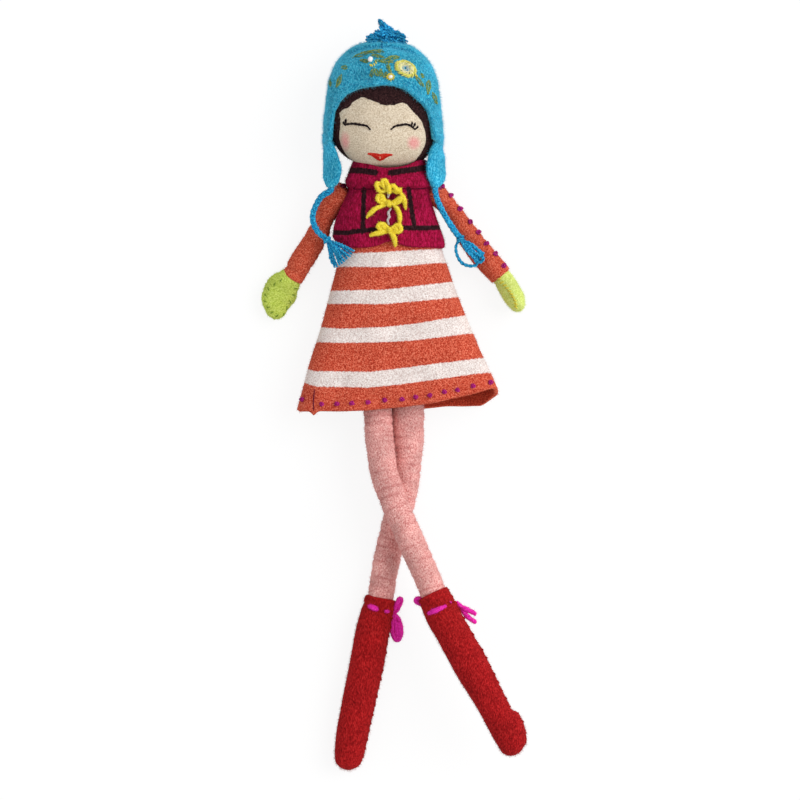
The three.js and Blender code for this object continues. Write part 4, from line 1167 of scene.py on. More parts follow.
def hairline_turns():
    """Pairs of the angle round the face and the angle back from its front, along the hairline."""
    turns = []
    for column, row in HAIRLINE:
        point = seen(column, row, HEAD_Z + HEAD_HALF_DEPTH * 0.9)
        scale = head_scale(point.y, 0)
        across = min(abs(point.x - head_x(point.y)) / (HEAD_HALF_WIDTH * scale), 0.999)
        point.z = HEAD_Z + HEAD_HALF_DEPTH * scale * math.sqrt(1 - across**2)
        away = point - HAIR_MIDDLE
        turns.append((math.atan2(away.y, away.x), math.acos(away.z / away.length)))
    turns = [(angle if angle > -1.6 else angle + math.tau, back) for angle, back in turns]
    sides = [(-0.75, math.radians(77)), (-1.1, math.radians(97)), (-math.pi / 2, math.radians(118))]
    left = [(math.pi * 2 - 2.2, math.radians(100)), (math.pi * 2 - 2.45, math.radians(84))]
    return sorted(turns + sides + left + [(math.tau - math.pi / 2, math.radians(118))])


turns, backs = zip(*hairline_turns())
rings = []
for outside in (True, False):
    layer = []
    for row in range(HAIR_ROWS + 1):
        ring = []
        for column in range(HAIR_COLUMNS):
            angle = -math.pi / 2 + column / HAIR_COLUMNS * math.tau
            jag = 0.02 * noise.noise(Vector((column * 0.9, 3.1, 0)))
            back = mix(along(turns, backs, angle) + jag, math.pi - 0.03, row / HAIR_ROWS)
            aside = math.sin(back)
            direction = Vector((math.cos(angle) * aside, math.sin(angle) * aside, math.cos(back)))
            thin = 1 - 0.7 * smooth(math.cos(angle - HAIR_THIN), 0.5, 0.9)
            thickness = 0.5 + 1.2 * thin * smooth(row, 0, 4) if outside else 0.05
            ring.append(on_head(direction, thickness))
        layer.append(ring)
    rings += layer[::-1] if outside else layer
back_pole = HAIR_MIDDLE - Vector((0, 0, HEAD_HALF_DEPTH))
nap = [1.0] * ((HAIR_ROWS + 1) * HAIR_COLUMNS) + [0.0] * ((HAIR_ROWS + 1) * HAIR_COLUMNS)
hair = skin("hair_felt", rings, (back_pole - Vector((0, 0, 1.7)), back_pole), [brown_felt], nap=nap)
uneven(hair, 0.3, 4, 3)
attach(hair, "head")
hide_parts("hair")

# Hat: a bonnet of turquoise heathered knit, felted in the wash and pulled over the hair. Its brim
# arches over the brow and runs down beside the cheeks to the earflaps.
HAT_GROWTH, HAT_WALL, HAT_BOTTOM = 4.4, 2.2, 138
HAT_HALF_WIDTH = HEAD_HALF_WIDTH + HAT_GROWTH
HAT_SHARE = 0.025  # by which it is wider at the crown, and narrower at the temples
CROWN_LEVELS, TEMPLE_LEVELS = (176, 186), ((147, 158), (166, 174))
HAT_SIDES = 144
HAT_ROWS = 52
BRIM = (
    (-40, 139), (-35.4, 140.5), (-35.2, 149), (-34.8, 154.5), (-31.5, 160.5), (-26.9, 165),
    (-20.5, 168), (-13.2, 169.4), (-6, 169.8), (0.5, 169.4), (6.5, 167.4), (11.6, 163.9),
    (16.2, 159.8), (19.8, 155.6), (21.7, 148), (22.1, 140.5), (30, 139),
)
# The fold mark is painted shade: a darker turquoise in the fold under the roll over the crown.
turquoise_knit = wool(
    "turquoise knit", (24, 142, 180), (88, 200, 222), (6, 94, 138), grain=0.75, stitch=1.7,
    mark=("fold", (12, 104, 152), (44, 150, 190), (4, 72, 122)), patch=0.2, streak=1.8, edge=1.2,
    sheen=0.9,
)
HAT_FOLD = (382, 48.6, 0.006)  # the column and row of its middle in the picture, and its bow
HAT_FOLD_DEPTH, HAT_FOLD_HALF, HAT_FOLD_FADE = 1.6, 2.3, (28, 44)


def hat_edge(angle):
    """The level of the hat's edge, by the angle round the head from its left over the front."""
    y = 160.0
    for _ in range(8):
        x = HEAD_X + math.cos(angle) * HAT_HALF_WIDTH * head_scale(y, HAT_GROWTH, True)
        y = (y + along(*zip(*BRIM), x)) / 2
    return mix(HAT_BOTTOM, y, smooth(math.sin(angle), 0.28, 0.46))


def hat_fold(point):
    """How far the hat stands out at a place: a roll over the crown, and a fold under the roll."""
    away = (point - VIEW_MIDDLE) / PIXEL
    column, row = PICTURE_MIDDLE + away.x, PICTURE_MIDDLE - away.y
    below = (row - HAT_FOLD[1] - HAT_FOLD[2] * (column - HAT_FOLD[0]) ** 2) / HAT_FOLD_HALF
    fade = 1 - smooth(abs(column - HAT_FOLD[0]), *HAT_FOLD_FADE)
    return fade * HAT_FOLD_DEPTH * (0.7 * math.exp(-((below + 1.8) ** 2)) - math.exp(-(below**2)))


def hat_rings(growth, rows):
    top = BROW + CROWN_HEIGHT + growth
    edges = [hat_edge(i / HAT_SIDES * math.tau) for i in range(HAT_SIDES)]
    made = []
    for k in range(1, rows + 1):
        drop = 1 - math.cos(k / rows * math.pi / 2)
        ring = []
        for i in range(HAT_SIDES):
            y = top - (top - edges[i]) * drop
            front = smooth(math.sin(i / HAT_SIDES * math.tau), 0.3, 0.5)
            roll = 0.6 * front * smooth(k, rows - 5, rows) if growth > 3 else 0.0
            point = head_ring(y, growth + roll, HAT_SIDES, True)[i]
            low, high = TEMPLE_LEVELS
            narrow = HAT_SHARE * smooth(y, *low) * (1 - smooth(y, *high))
            wide = HAT_SHARE * smooth(y, *CROWN_LEVELS) - narrow
            point.x += (point.x - HEAD_X) * wide
            if growth == HAT_GROWTH and point.z > HEAD_Z:
                point.z += hat_fold(point) * smooth(point.z, HEAD_Z, HEAD_Z + 6)
            ring.append(point)
        made.append(ring)
    return made, Vector((HEAD_X, top, HEAD_Z))


outside, crown = hat_rings(HAT_GROWTH, HAT_ROWS)
inside, crown_inside = hat_rings(HAT_GROWTH - HAT_WALL, HAT_ROWS // 2)
fold = [(a + b) / 2 - Vector((0, 0.8, 0)) for a, b in zip(outside[-1], inside[-1])]
rings = outside + [fold] + inside[::-1]
nap = [1.0] * ((HAT_ROWS + 1) * HAT_SIDES) + [0.0] * (len(inside) * HAT_SIDES)
# How deep in the fold's painted shade each point of the outside lies.
fold_shades = [
    -hat_fold(point) - 1.5 if point.z > HEAD_Z else UNMARKED for ring in outside for point in ring
]
fold_shades += [UNMARKED] * (len(rings) * HAT_SIDES - len(fold_shades))
hat = skin(
    "hat_knit", rings, (crown, crown_inside), [turquoise_knit], nap=nap, fold=fold_shades + [UNMARKED] * 2
)
uneven(hat, 0.5, 9, 6)
for vertex in hat.data.vertices:
    vertex.co.z = max(vertex.co.z, TABLE_CLEAR * MM)
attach(hat, "head")
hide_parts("hat")

# Earflaps: tongues of the hat's knit that hang from its lower edge, edge on beside the cheeks,
# then turn to the front and narrow to the braids.
FLAP_SIDES = 32
FLAP_STATIONS = {
    "right": [
        ((-37, 143.4, 22.4), 9.0, 2.4, -88), ((-36.4, 139.2, 22.4), 9.6, 2.6, -88),
        ((-35.4, 133, 23), 9.0, 2.6, -70), ((-34.3, 127, 24), 8.0, 2.5, -57),
        ((-33.9, 122.5, 25), 7.0, 2.4, -47), ((-34.2, 118.6, 26), 5.5, 2.2, -38),
        ((-34.7, 115.6, 26.5), 3.2, 2.0, -22), ((-34.7, 114.2, 26.7), 1.9, 1.8, 0),
    ],
    "left": [
        ((24.9, 143.4, 22.4), 9.0, 2.6, 88), ((24.3, 139.2, 22.4), 9.6, 2.7, 88),
        ((23.7, 133, 23), 9.4, 2.7, 70), ((23.3, 127, 24), 8.6, 2.6, 57),
        ((23.2, 122.5, 25), 7.7, 2.5, 47), ((23.2, 118.6, 26), 5.9, 2.2, 38),
        ((22.8, 115.6, 26.5), 3.3, 2.0, 22), ((22.6, 114.2, 26.7), 1.9, 1.8, 0),
    ],
}
# A lighter copy of the hat's knit: painted light on the earflaps.
lit_flap_knit = wool(
    "flap knit", (36, 166, 206), (106, 212, 234), (10, 112, 160), grain=0.75, stitch=1.7, patch=0.2,
    streak=1.8, sheen=0.7,
)
FLAP_GAP, FLAP_END = 0.8, 0.5
FLAP_FOLD = {
    "right": (placed((-38.8, 138, 22.4)), placed((-38.8, 130, 22.4))),
    "left": (placed((26.8, 138, 22.4)), placed((26.8, 130, 22.4))),
}
flaps = {}
for side, stations in FLAP_STATIONS.items():
    rings, poles, _ = tube_rings(stations, FLAP_SIDES, FLAP_GAP, FLAP_END, FLAP_END)
    flap = skin(side + "_earflap_knit", rings, poles, [lit_flap_knit])
    uneven(flap, 0.4, 6, 11 if side == "right" else 12)
    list(FLAP_FOLD[side])
    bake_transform(flap)
    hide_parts(side + "_earflap")
    flaps[side] = flap

# Pom-pom: a tuft of short ends of blue wool, tied in the middle and sewn to the top of the hat. Its
# longest ends stand up to one side.
POMPOM_MIDDLE = Vector((-4.2, 194.0, HEAD_Z))
POMPOM_REACH = Vector((11.6, 7.6, 10.4))
POMPOM_ENDS = 360
TUFT = ((389, 30), (379, 19))
TUFT_ENDS = 70
POMPOM_YARN = 1.7
blue_yarn = wool("blue yarn", (26, 148, 204), (84, 204, 234), (0, 84, 150), grain=0.8, patch=0.3)


def tuft_end(target, bend):
    """The route of one end of yarn from the middle of the pom-pom, bowed to one side."""
    root = POMPOM_MIDDLE + (target - POMPOM_MIDDLE) * 0.25
    middle = (root + target) / 2 + bend
    return line_through([root, middle, target], 1.6)


ends = []
while len(ends) < POMPOM_ENDS:
    way = Vector((chance.gauss(0, 1), chance.gauss(0, 1), chance.gauss(0, 1))).normalized()
    if way.y > -0.25:
        reach = Vector([part * most for part, most in zip(way, POMPOM_REACH)])
        reach = reach * chance.uniform(0.72, 1.06)
        bend = Vector((chance.uniform(-2, 2), chance.uniform(-1, 2), chance.uniform(-2, 2)))
        ends.append(tuft_end(POMPOM_MIDDLE + reach, bend))
for _ in range(TUFT_ENDS):
    share = chance.uniform(0, 1)
    low, high = seen(*TUFT[0], HEAD_Z), seen(*TUFT[1], HEAD_Z)
    spread = Vector((chance.uniform(-4.4, 3.4), 0, chance.uniform(-4, 4)))
    tip = low.lerp(high, share) + spread * (1.15 - share)
    ends.append(tuft_end(tip, Vector((chance.uniform(0, 2.4), 0, chance.uniform(-1, 1)))))
pompom = thread("hat_pompom_yarn", ends, POMPOM_YARN, blue_yarn, turn=2.2, sides=4, taper=0.3)
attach(pompom, "head")
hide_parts("hat_pompom")

# Embroidery on the hat: a vine, leaves, small flowers and one ring flower in olive, green, yellow
# and cream crewel wool, worked through the knit. A seed bead is sewn into each of two flowers.
CREWEL = 0.68


def lying_on(*pieces):
    """A function that sets a point of the picture down on pieces, lifted off them by a distance."""
    trees = []
    for piece in pieces:
        corners = [vertex.co for vertex in piece.data.vertices]
        faces = [tuple(face.vertices) for face in piece.data.polygons]
        trees.append(BVHTree.FromPolygons(corners, faces))

    def lay(column, row, lift=0.0, near=40.0):
        eye = placed(VIEW_MIDDLE)
        found = [tree.ray_cast(eye, placed(seen(column, row)) - eye)[:2] for tree in trees]
        found = [hit for hit in found if hit[0] is not None]
        if not found:
            found = [tree.find_nearest(placed(seen(column, row, near)))[:2] for tree in trees]
        place, normal = max(found, key=lambda hit: hit[0].z)
        return place / MM - ORIGIN + normal * lift

    return lay


def stitch(lay, start, end, lift=0.35, steps=3):
    """The route of one straight stitch: out of the cloth, over it and back in."""
    route = []
    for k in range(steps + 1):
        share = k / steps
        rise = lift * (1.6 * math.sin(share * math.pi) - 0.5)
        route.append(lay(mix(start[0], end[0], share), mix(start[1], end[1], share), rise))
    return route


def leaf(lay, base, tip, width, pairs=6):
    """Slanting stitches on both sides of a leaf's middle line."""
    vein = Vector((tip[0] - base[0], tip[1] - base[1]))
    across = Vector((-vein.y, vein.x)).normalized() * width / 2
    routes = []
    for k in range(pairs):
        share = (k + 0.5) / pairs
        swell = math.sin(math.pi * (0.12 + 0.8 * share))
        for side in (1, -1):
            slip = chance.uniform(-0.1, 0.25)
            inner = Vector(base) + vein * (share * 0.8) + across * side * slip
            reach = min(share * 0.8 + chance.uniform(0.2, 0.34), 1.05)
            outer = Vector(base) + vein * reach + across * side * swell
            routes.append(stitch(lay, inner, outer))
    return routes


on_hat = lying_on(hat)
olive = wool(
    "olive crewel wool", (132, 150, 62), (176, 186, 104), (84, 112, 50), grain=0.6, patch=0.3
)
green = wool(
    "green crewel wool", (66, 126, 96), (110, 160, 120), (36, 88, 72), grain=0.6, patch=0.3
)
yellow = wool("yellow wool", (245, 224, 56), (255, 240, 110), (214, 178, 20), grain=0.6, patch=0.08)
pale = wool(
    "pale crewel wool", (200, 216, 214), (236, 240, 236), (150, 186, 196), grain=0.6, patch=0.1
)
seam_wool = wool("hat seam wool", (8, 88, 134), (22, 118, 164), (4, 58, 98), grain=0.5)
VINE = [(352.5, 58), (357, 55.5), (364, 53), (372, 51.5), (380, 51), (384, 52.5)]
STEMS = [
    [(371, 55.5), (378, 55), (385, 58)], [(399, 58), (396, 56), (390, 56.5), (385, 59.5)],
    [(374, 61), (383, 61.5), (393, 62)], [(391, 73), (389, 68), (388.5, 63)],
    [(413, 74), (419, 79), (424, 87)], [(429, 80), (426, 84), (427.5, 94.5)],
    [(429, 80), (430.5, 86), (428, 94.5)], [(432, 92), (433, 98), (437, 104.5)],
    [(432, 92), (436, 97), (437, 104.5)], [(342, 74.5), (338, 79), (336.4, 87.5)],
    [(342, 74.5), (341, 82), (337, 87.5)], [(331, 79), (329.5, 83), (331, 87)],
]
LEAVES = [
    ((353, 57.5), (371, 51.5), 5), ((367, 52.5), (384, 50.5), 4.6), ((371, 55), (383, 57), 3.6),
    ((374, 60.5), (393, 61.8), 5), ((385, 58.5), (400, 57.5), 4), ((359, 60), (369, 61.5), 4),
    ((374.5, 67), (370.5, 77.5), 5), ((375.5, 68), (378, 77), 4.4), ((391, 73), (387, 64), 4.6),
    ((387, 71), (383.5, 78), 3.4), ((414, 74.5), (424, 87), 4.2), ((428.5, 80), (428, 94), 4),
    ((432.5, 92.5), (436.5, 104), 4), ((420.5, 73), (423.5, 78), 3),
    ((341, 67.3), (347.5, 67.6), 4.6), ((341, 76), (337, 87), 3.4), ((330.5, 80), (330.5, 86), 3),
    ((380.2, 68), (381.6, 77), 4.4),
]
routes = [line_through([on_hat(*place, 0.3) for place in line]) for line in [VINE, *STEMS]]
dark_routes = []
for number, (base, tip, width) in enumerate(LEAVES):
    stitches = leaf(on_hat, base, tip, width)
    dark_routes += stitches[number % 3 :: 3]
    routes += [made for k, made in enumerate(stitches) if k % 3 != number % 3]
leaf_work = thread("hat_vine_stitches", routes, CREWEL, olive, sides=5, taper=0.3)
shade_work = thread("hat_leaf_stitches", dark_routes, CREWEL, green, sides=5, taper=0.3)
STAR, STAR_STITCHES, STAR_SLANT = (390.5, 77), 11, 0.35
routes = []
for k in range(STAR_STITCHES):
    angle = k / STAR_STITCHES * math.tau
    near, far = 1.5 + 0.3 * (k % 2), 4.4 + 0.5 * (k % 3)
    start = (STAR[0] + near * math.cos(angle), STAR[1] + near * math.sin(angle))
    angle += STAR_SLANT
    end = (STAR[0] + far * math.cos(angle), STAR[1] + 0.85 * far * math.sin(angle))
    routes.append(stitch(on_hat, start, end, 0.8))
for place in ((371.4, 64.2), (373.6, 63.2), (375.4, 61.4), (369.8, 64)):
    routes.append(stitch(on_hat, place, (place[0] + 1.2, place[1] + 2.4)))
routes.append(stitch(on_hat, (414, 73), (418, 78), 0.5))
small_flowers = thread("hat_flower_stitches", routes, CREWEL * 1.35, yellow, sides=5, taper=0.3)
crown_line = [line_through([on_hat(382, row, 0.1) for row in (42, 44, 46, 48.5)])]
crown_seam = thread("hat_crown_seam", crown_line, 0.9, seam_wool, sides=5, taper=0.4)
for made in (leaf_work, shade_work, small_flowers, crown_seam):
    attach(made, "head")

FLOWER = (405.3, 69)
FLOWER_TILT = math.radians(28)
FLOWER_HALF = (11.9, 7.8)


def flower_place(angle, reach, lift):
    across = FLOWER_HALF[0] * reach * math.cos(angle)
    down = FLOWER_HALF[1] * reach * math.sin(angle)
    column = FLOWER[0] + across * math.cos(FLOWER_TILT) - down * math.sin(FLOWER_TILT)
    row = FLOWER[1] + across * math.sin(FLOWER_TILT) + down * math.cos(FLOWER_TILT)
    return on_hat(column, row, lift)


def petal_ring(count, inner, outer, lift):
    """Routes of slanting stitches between two ovals round the middle of the ring flower."""
    petals = []
    for k in range(count):
        start = k / count * math.tau + chance.uniform(-0.08, 0.08)
        near, far = inner + chance.uniform(-0.06, 0.06), outer + chance.uniform(-0.08, 0.04)
        petal = []
        for s in (0, 0.25, 0.5, 0.75, 1):
            rise = 0.2 + lift * math.sin(s * math.pi)
            petal.append(flower_place(start + 0.55 * s, mix(near, far, s), rise))
        petals.append(petal)
    return petals


ring_yellow = wool(
    "ring crewel wool", (226, 222, 104), (242, 240, 160), (194, 186, 52), grain=0.6, patch=0.1
)
cream = wool(
    "cream crewel wool", (240, 236, 178), (250, 248, 216), (214, 204, 120), grain=0.6, patch=0.12
)
outer_ring = thread(
    "hat_ring_flower", petal_ring(40, 0.62, 1.0, 1.2), 0.95, ring_yellow, sides=5, taper=0.3
)
inner_ring = thread(
    "hat_ring_flower_inside", petal_ring(26, 0.34, 0.8, 1.5), 0.9, cream, sides=5, taper=0.3
)
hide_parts("hat_flower")
for made in (outer_ring, inner_ring):
    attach(made, "head")
FLOWER_KNOTS = 13
knots = []
for k in range(FLOWER_KNOTS):
    angle, reach = k * 2.4, 0.42 * math.sqrt((k + 0.5) / FLOWER_KNOTS)
    knot = []
    for s in (0, 0.33, 0.67, 1):
        rise = 0.2 + 0.7 * math.sin(s * math.pi)
        knot.append(flower_place(angle + 1.2 * s, reach + 0.06 * s, rise))
    knots.append(knot)
flower_middle = thread("hat_flower_middle", knots, 0.9, pale, sides=5, taper=0.3)
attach(flower_middle, "head")

bead_gloss = bpy.data.materials.new("white bead")
bead_gloss.use_nodes = True
glaze = bead_gloss.node_tree
place = node(glaze, "ShaderNodeTexCoord").outputs["Object"]
lustre = node(glaze, "ShaderNodeTexNoise", {"Vector": place, "Scale": 500})
tint = node(glaze, "ShaderNodeValToRGB", {"Fac": lustre.outputs["Fac"]})
tint.color_ramp.elements[0].color = dye(226, 226, 222)
tint.color_ramp.elements[1].color = dye(250, 249, 245)
gloss = glaze.nodes["Principled BSDF"].inputs
glaze.links.new(tint.outputs[0], gloss["Base Color"])
gloss["Roughness"].default_value = 0.18
gloss["Coat Weight"].default_value = 0.4
# Each bead's side, its place in the picture, its turn in degrees and its share of the full size.
BEADS = (("right", 370.8, 60.5, 70, 1.0), ("left", 390.5, 77.3, 20, 0.78))
BEAD_SIDES, BEAD_ROWS = 20, 15
for side, column, row, turn, share in BEADS:
    middle = on_hat(column, row, 1.3 * share)
    axis = Vector((math.cos(math.radians(turn)), math.sin(math.radians(turn)), 0))
    across = axis.cross(UP).normalized()
    outer = []
    for k in range(BEAD_ROWS):
        angle = math.pi * (0.1 + 0.8 * k / (BEAD_ROWS - 1))
        radius = (0.25 + 1.1 * math.sin(angle)) * share
        centre = middle - axis * 1.55 * share * math.cos(angle)
        outer.append(oval(centre, across, UP, radius, radius, BEAD_SIDES))
    hole, bore = [], 0.3 * share
    for s in (1, 0.3, -0.3, -1):
        centre = middle + axis * 1.4 * share * s
        hole.append(oval(centre, across, UP, bore, bore, BEAD_SIDES))
    bead = skin("hat_bead_" + side + "_glass", outer + hole, None, [bead_gloss])
    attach(bead, "head")
    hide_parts("hat_bead_" + side)

# Face: two closed eyes in black thread with lashes at the outer corners, and lips filled with
# upright stitches of red thread, all worked through the knit of the head.
EYE_THREAD, LIP_THREAD, SHINE_THREAD = 1.5, 0.75, 0.7
on_face = lying_on(head)
black_thread = wool("black thread", (28, 18, 20), (52, 38, 40), (10, 6, 8), grain=0.5)
EYES = [
    [(345, 125.3), (347.5, 124.2), (354, 123.7), (361, 124.8), (367, 126), (370.5, 130)],
    [(390.8, 129.6), (395, 126.2), (401, 125), (407, 124.4), (411.5, 126.6), (415, 129.6)],
]
LASHES = [
    ((345.2, 125.2), (343.2, 121.8)), ((346, 124.8), (346, 118.8)), ((411.2, 126.4), (412.2, 122)),
    ((413, 127.6), (415.4, 122.8)), ((415, 129.4), (418.2, 126.2)),
]
eye_lines = [line_through([on_face(*place, 0.25) for place in eye], 0.7) for eye in EYES]
eye_lines += [stitch(on_face, base, tip, 0.4) for base, tip in LASHES]
eyes = thread("face_eye_stitches", eye_lines, EYE_THREAD, black_thread, sides=6, taper=0.35)
LIPS = (
    (368.5, 153.2, 153.8), (371.5, 153, 155.4), (374, 153, 157.4), (377, 153.4, 159.6),
    (380, 154.2, 160.8), (383, 153.6, 159.6), (386, 153.5, 157.6), (389, 153.8, 155.8),
    (391.8, 154.3, 154.9),
)
red_thread = wool("red thread", (208, 36, 24), (228, 70, 54), (160, 14, 12), grain=0.5)
lip_shine_red = wool("lip shine thread", (232, 158, 130), (244, 186, 160), (214, 120, 96), grain=0.5)
LIP_STITCHES = 31
lip_lines = []
for k in range(LIP_STITCHES):
    column = mix(LIPS[0][0], LIPS[-1][0], k / (LIP_STITCHES - 1))
    for (a, top_a, low_a), (b, top_b, low_b) in zip(LIPS, LIPS[1:]):
        if a <= column <= b:
            share = (column - a) / (b - a)
            top, low = mix(top_a, top_b, share), mix(low_a, low_b, share) + 0.3
            lip_lines.append(stitch(on_face, (column, top), (column, low), 0.4))
            break
lips = thread("face_lip_stitches", lip_lines, LIP_THREAD, red_thread, plies=1, sides=6, taper=0.2)
# Pale stitches across the middle of the lips: a painted highlight.
LIP_SHINE = (((378.4, 156.2), (381.8, 156.3)), ((379, 157.4), (381.2, 157.4)))
shine_lines = [stitch(on_face, start, end, 0.9) for start, end in LIP_SHINE]
shine = thread("face_lip_middle", shine_lines, SHINE_THREAD, lip_shine_red, sides=5, taper=0.4)
for made, slot in ((eyes, "brown_felt"), (lips, "red_felt"), (shine, "beige_knit")):
    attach(made, "head")

# Bows: three short lengths of thick yellow yarn, tied across the vest's opening, and between them
# a twisted grey thread that holds the two edges.
BOW_YARN, LACING = 2.5, 1.7
BOWS = {
    "top": (
        (389, 187),
        [
            [
                (389, 187.4), (384, 187.4), (380, 186.8), (377.6, 185.4), (378.4, 183.6),
                (381, 184.2), (386, 186.6),
            ],
            [(389, 187.4), (387, 184.4), (385.6, 182), (383.2, 182.2), (383, 185), (386, 187.4)],
            [
                (389, 187), (393, 185.8), (397.6, 186.8), (400, 189.8), (398.8, 192),
                (395.4, 190.6), (390, 188),
            ],
            [(392, 187.5), (396, 188.6), (397.2, 189.6), (393, 188.8)],
            [(398, 190), (401.6, 195), (403.8, 201), (405.3, 209.5)],
        ],
    ),
    "middle": (
        (388.8, 203.5),
        [
            [
                (389, 203.5), (385, 199.6), (382.6, 195.6), (379.6, 196.2), (379, 200),
                (382, 202.8), (387, 204.2),
            ],
            [(386, 202.5), (382.4, 199.6), (381.4, 198.4), (383.2, 201.5)],
            [
                (389, 203.5), (395, 201.2), (399.6, 197.8), (401, 197), (399.8, 200.6),
                (395, 203.8), (390, 204.5),
            ],
            [(388, 204.3), (380, 207), (373, 211.5), (367, 218)],
            [(391, 204.8), (396.4, 208.5), (399, 215), (399.8, 225)],
        ],
    ),
    "bottom": (
        (390, 230.8),
        [
            [
                (390, 230), (386, 225.6), (382, 224), (379, 225.6), (380, 229), (384.5, 230.6),
                (389, 231),
            ],
            [(387, 229.5), (383.4, 227.4), (382, 226.8), (385, 229.8)],
            [(390, 231.4), (382, 232.4), (376, 233.6), (369.5, 235.6)],
            [
                (390, 230.5), (394, 226.8), (398.2, 225.4), (400.5, 227.8), (399.5, 231.2),
                (395.5, 232.6), (391, 231.5),
            ],
            [(392, 230), (396.4, 228.6), (397, 230.2), (392.4, 231.4)],
            [(391, 231.5), (394, 236), (395, 240.5), (395.4, 246.5)],
            [(390.6, 231.8), (393, 236), (394.6, 239), (395.2, 242)],
        ],
    ),
}
# The turn of yarn over a bow's knot: columns and rows from its middle, and lifts.
BOW_WRAP = [(-0.6, -2.4, 1.0), (-0.5, -1.6, 2.6), (0, 0, 3.3), (0.5, 1.6, 2.6), (0.6, 2.4, 1.0)]
on_vest = lying_on(vest, dress)
bows = []
for name, (knot, strands) in BOWS.items():
    routes = []
    for strand in strands:
        points, last = [], len(strand) - 1
        for i, place in enumerate(strand):
            lift = 1.8 + 0.7 * math.sin(i / last * math.pi) - (0.3 if i == last else 0)
            points.append(on_vest(*place, lift))
        routes.append(line_through(points))
    wrap = [on_vest(knot[0] + u, knot[1] + v, lift) for u, v, lift in BOW_WRAP]
    routes.append(line_through(wrap))
    bow = thread(
        "vest_bow_" + name + "_yarn", routes, BOW_YARN, yellow, plies=1, sides=12, taper=0.6
    )
    uneven(bow, 0.3, 1.5, len(bows))
    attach(bow, "torso")
    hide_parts("vest_bow_" + name)
    bows.append(bow)
grey_thread = wool("grey thread", (190, 182, 184), (232, 226, 226), (118, 104, 110), grain=0.5)
CHAINS = [
    [(387.4, 190.5), (388.6, 194), (387.6, 198)],
    [(390, 208.5), (388.4, 212.5), (389.4, 216.5), (387.6, 220.5), (389, 225)],
]
chain_routes = [line_through([on_vest(*place, 1.1) for place in chain], 0.4) for chain in CHAINS]
lacing = thread(
    "vest_lacing_thread", chain_routes, LACING, grey_thread, turn=1.5, sides=6, taper=0.4
)
# A dark thread laid along the lower edge of the yoke: painted shade under its fold.
yoke_shade_red = wool("vest yoke shade thread", (84, 6, 34), (112, 16, 52), (52, 2, 20), grain=0.5)
YOKE_SHADE_LINE = [
    [(347, 187.8), (354, 188.8), (362, 189.2), (370, 189.2), (377, 188.6)],
    [(403.5, 188.4), (411, 188.8), (419, 188.6), (427, 187.8), (431, 187)],
]
yoke_routes = [line_through([on_vest(*place, 0.1) for place in line]) for line in YOKE_SHADE_LINE]
yoke_shade_thread = thread("vest_yoke_seam", yoke_routes, 1.0, yoke_shade_red, sides=5, taper=0.5)
for made in (lacing, yoke_shade_thread):
    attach(made, "torso")

# French knots: magenta wool wound twice round the needle and drawn through, in a row along the hem
# and down the left sleeve, with a darker one on the right shoulder, and the dress's side seam.
HEM_KNOTS = [
    (303, 399.5), (322, 404), (337, 404), (352, 403), (368, 402.5), (385, 400), (402, 399),
    (416, 397), (430, 395.5), (444, 392), (457, 390), (473, 386), (490, 382.5),
]
SLEEVE_KNOTS = [
    (441.5, 187), (450, 196), (459.5, 209), (469, 222), (477.5, 232.5), (486, 244), (495, 254.5),
    (503.5, 266),
]
SHOULDER_KNOT = (342.5, 187)
SIDE_SEAM = [(314.5, 389), (314, 396), (313.5, 403), (314, 411)]
KNOT_YARN, KNOT_STEPS, KNOT_TURNS = 1.5, 14, 1.5
magenta_wool = wool("magenta wool", (166, 26, 112), (198, 60, 146), (112, 8, 72), grain=0.5)
dark_wool = wool("dark wool", (92, 14, 44), (128, 34, 66), (52, 6, 24), grain=0.5)


def french_knot(lay, place, reach=2.1, near=40.0):
    """The route of one knot: a turn and a half of yarn round a raised middle."""
    route, level = [], lay(*place, 0.0, near).z
    for k in range(KNOT_STEPS + 1):
        share = k / KNOT_STEPS
        angle = share * math.tau * KNOT_TURNS + place[0]
        wide = reach * (1 - 0.75 * share)
        column = place[0] + wide * math.cos(angle)
        row = place[1] + wide * 0.85 * math.sin(angle)
        point = lay(column, row, 0.3 + 1.5 * share, near)
        point.z = min(max(point.z, level - KNOT_YARN), level + KNOT_YARN)
        route.append(point)
    return route


on_dress = lying_on(dress)
on_left_arm, on_right_arm = lying_on(arms["left"]), lying_on(arms["right"])
along_hem = [french_knot(on_dress, place, near=12) for place in HEM_KNOTS]
on_left_sleeve = [french_knot(on_left_arm, place, near=14) for place in SLEEVE_KNOTS]
# The shoulder knot's darker wool is painted shade, where the sleeve goes in under the vest's
# armhole.
knots = {
    "hem_knots": ("torso", along_hem, magenta_wool),
    "sleeve_knots": ("left_arm", on_left_sleeve, magenta_wool),
    "shoulder_knot": ("right_arm", [french_knot(on_right_arm, SHOULDER_KNOT, near=18)], dark_wool),
}
for name, (body, routes, material) in knots.items():
    made = thread(name, routes, KNOT_YARN, material, sides=6, taper=0.2)
    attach(made, body)
seam_line = line_through([on_dress(*place, 0.1) for place in SIDE_SEAM])
side_seam = thread("dress_side_seam", [seam_line], 0.9, dark_wool, sides=5, taper=0.4)
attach(side_seam, "torso")

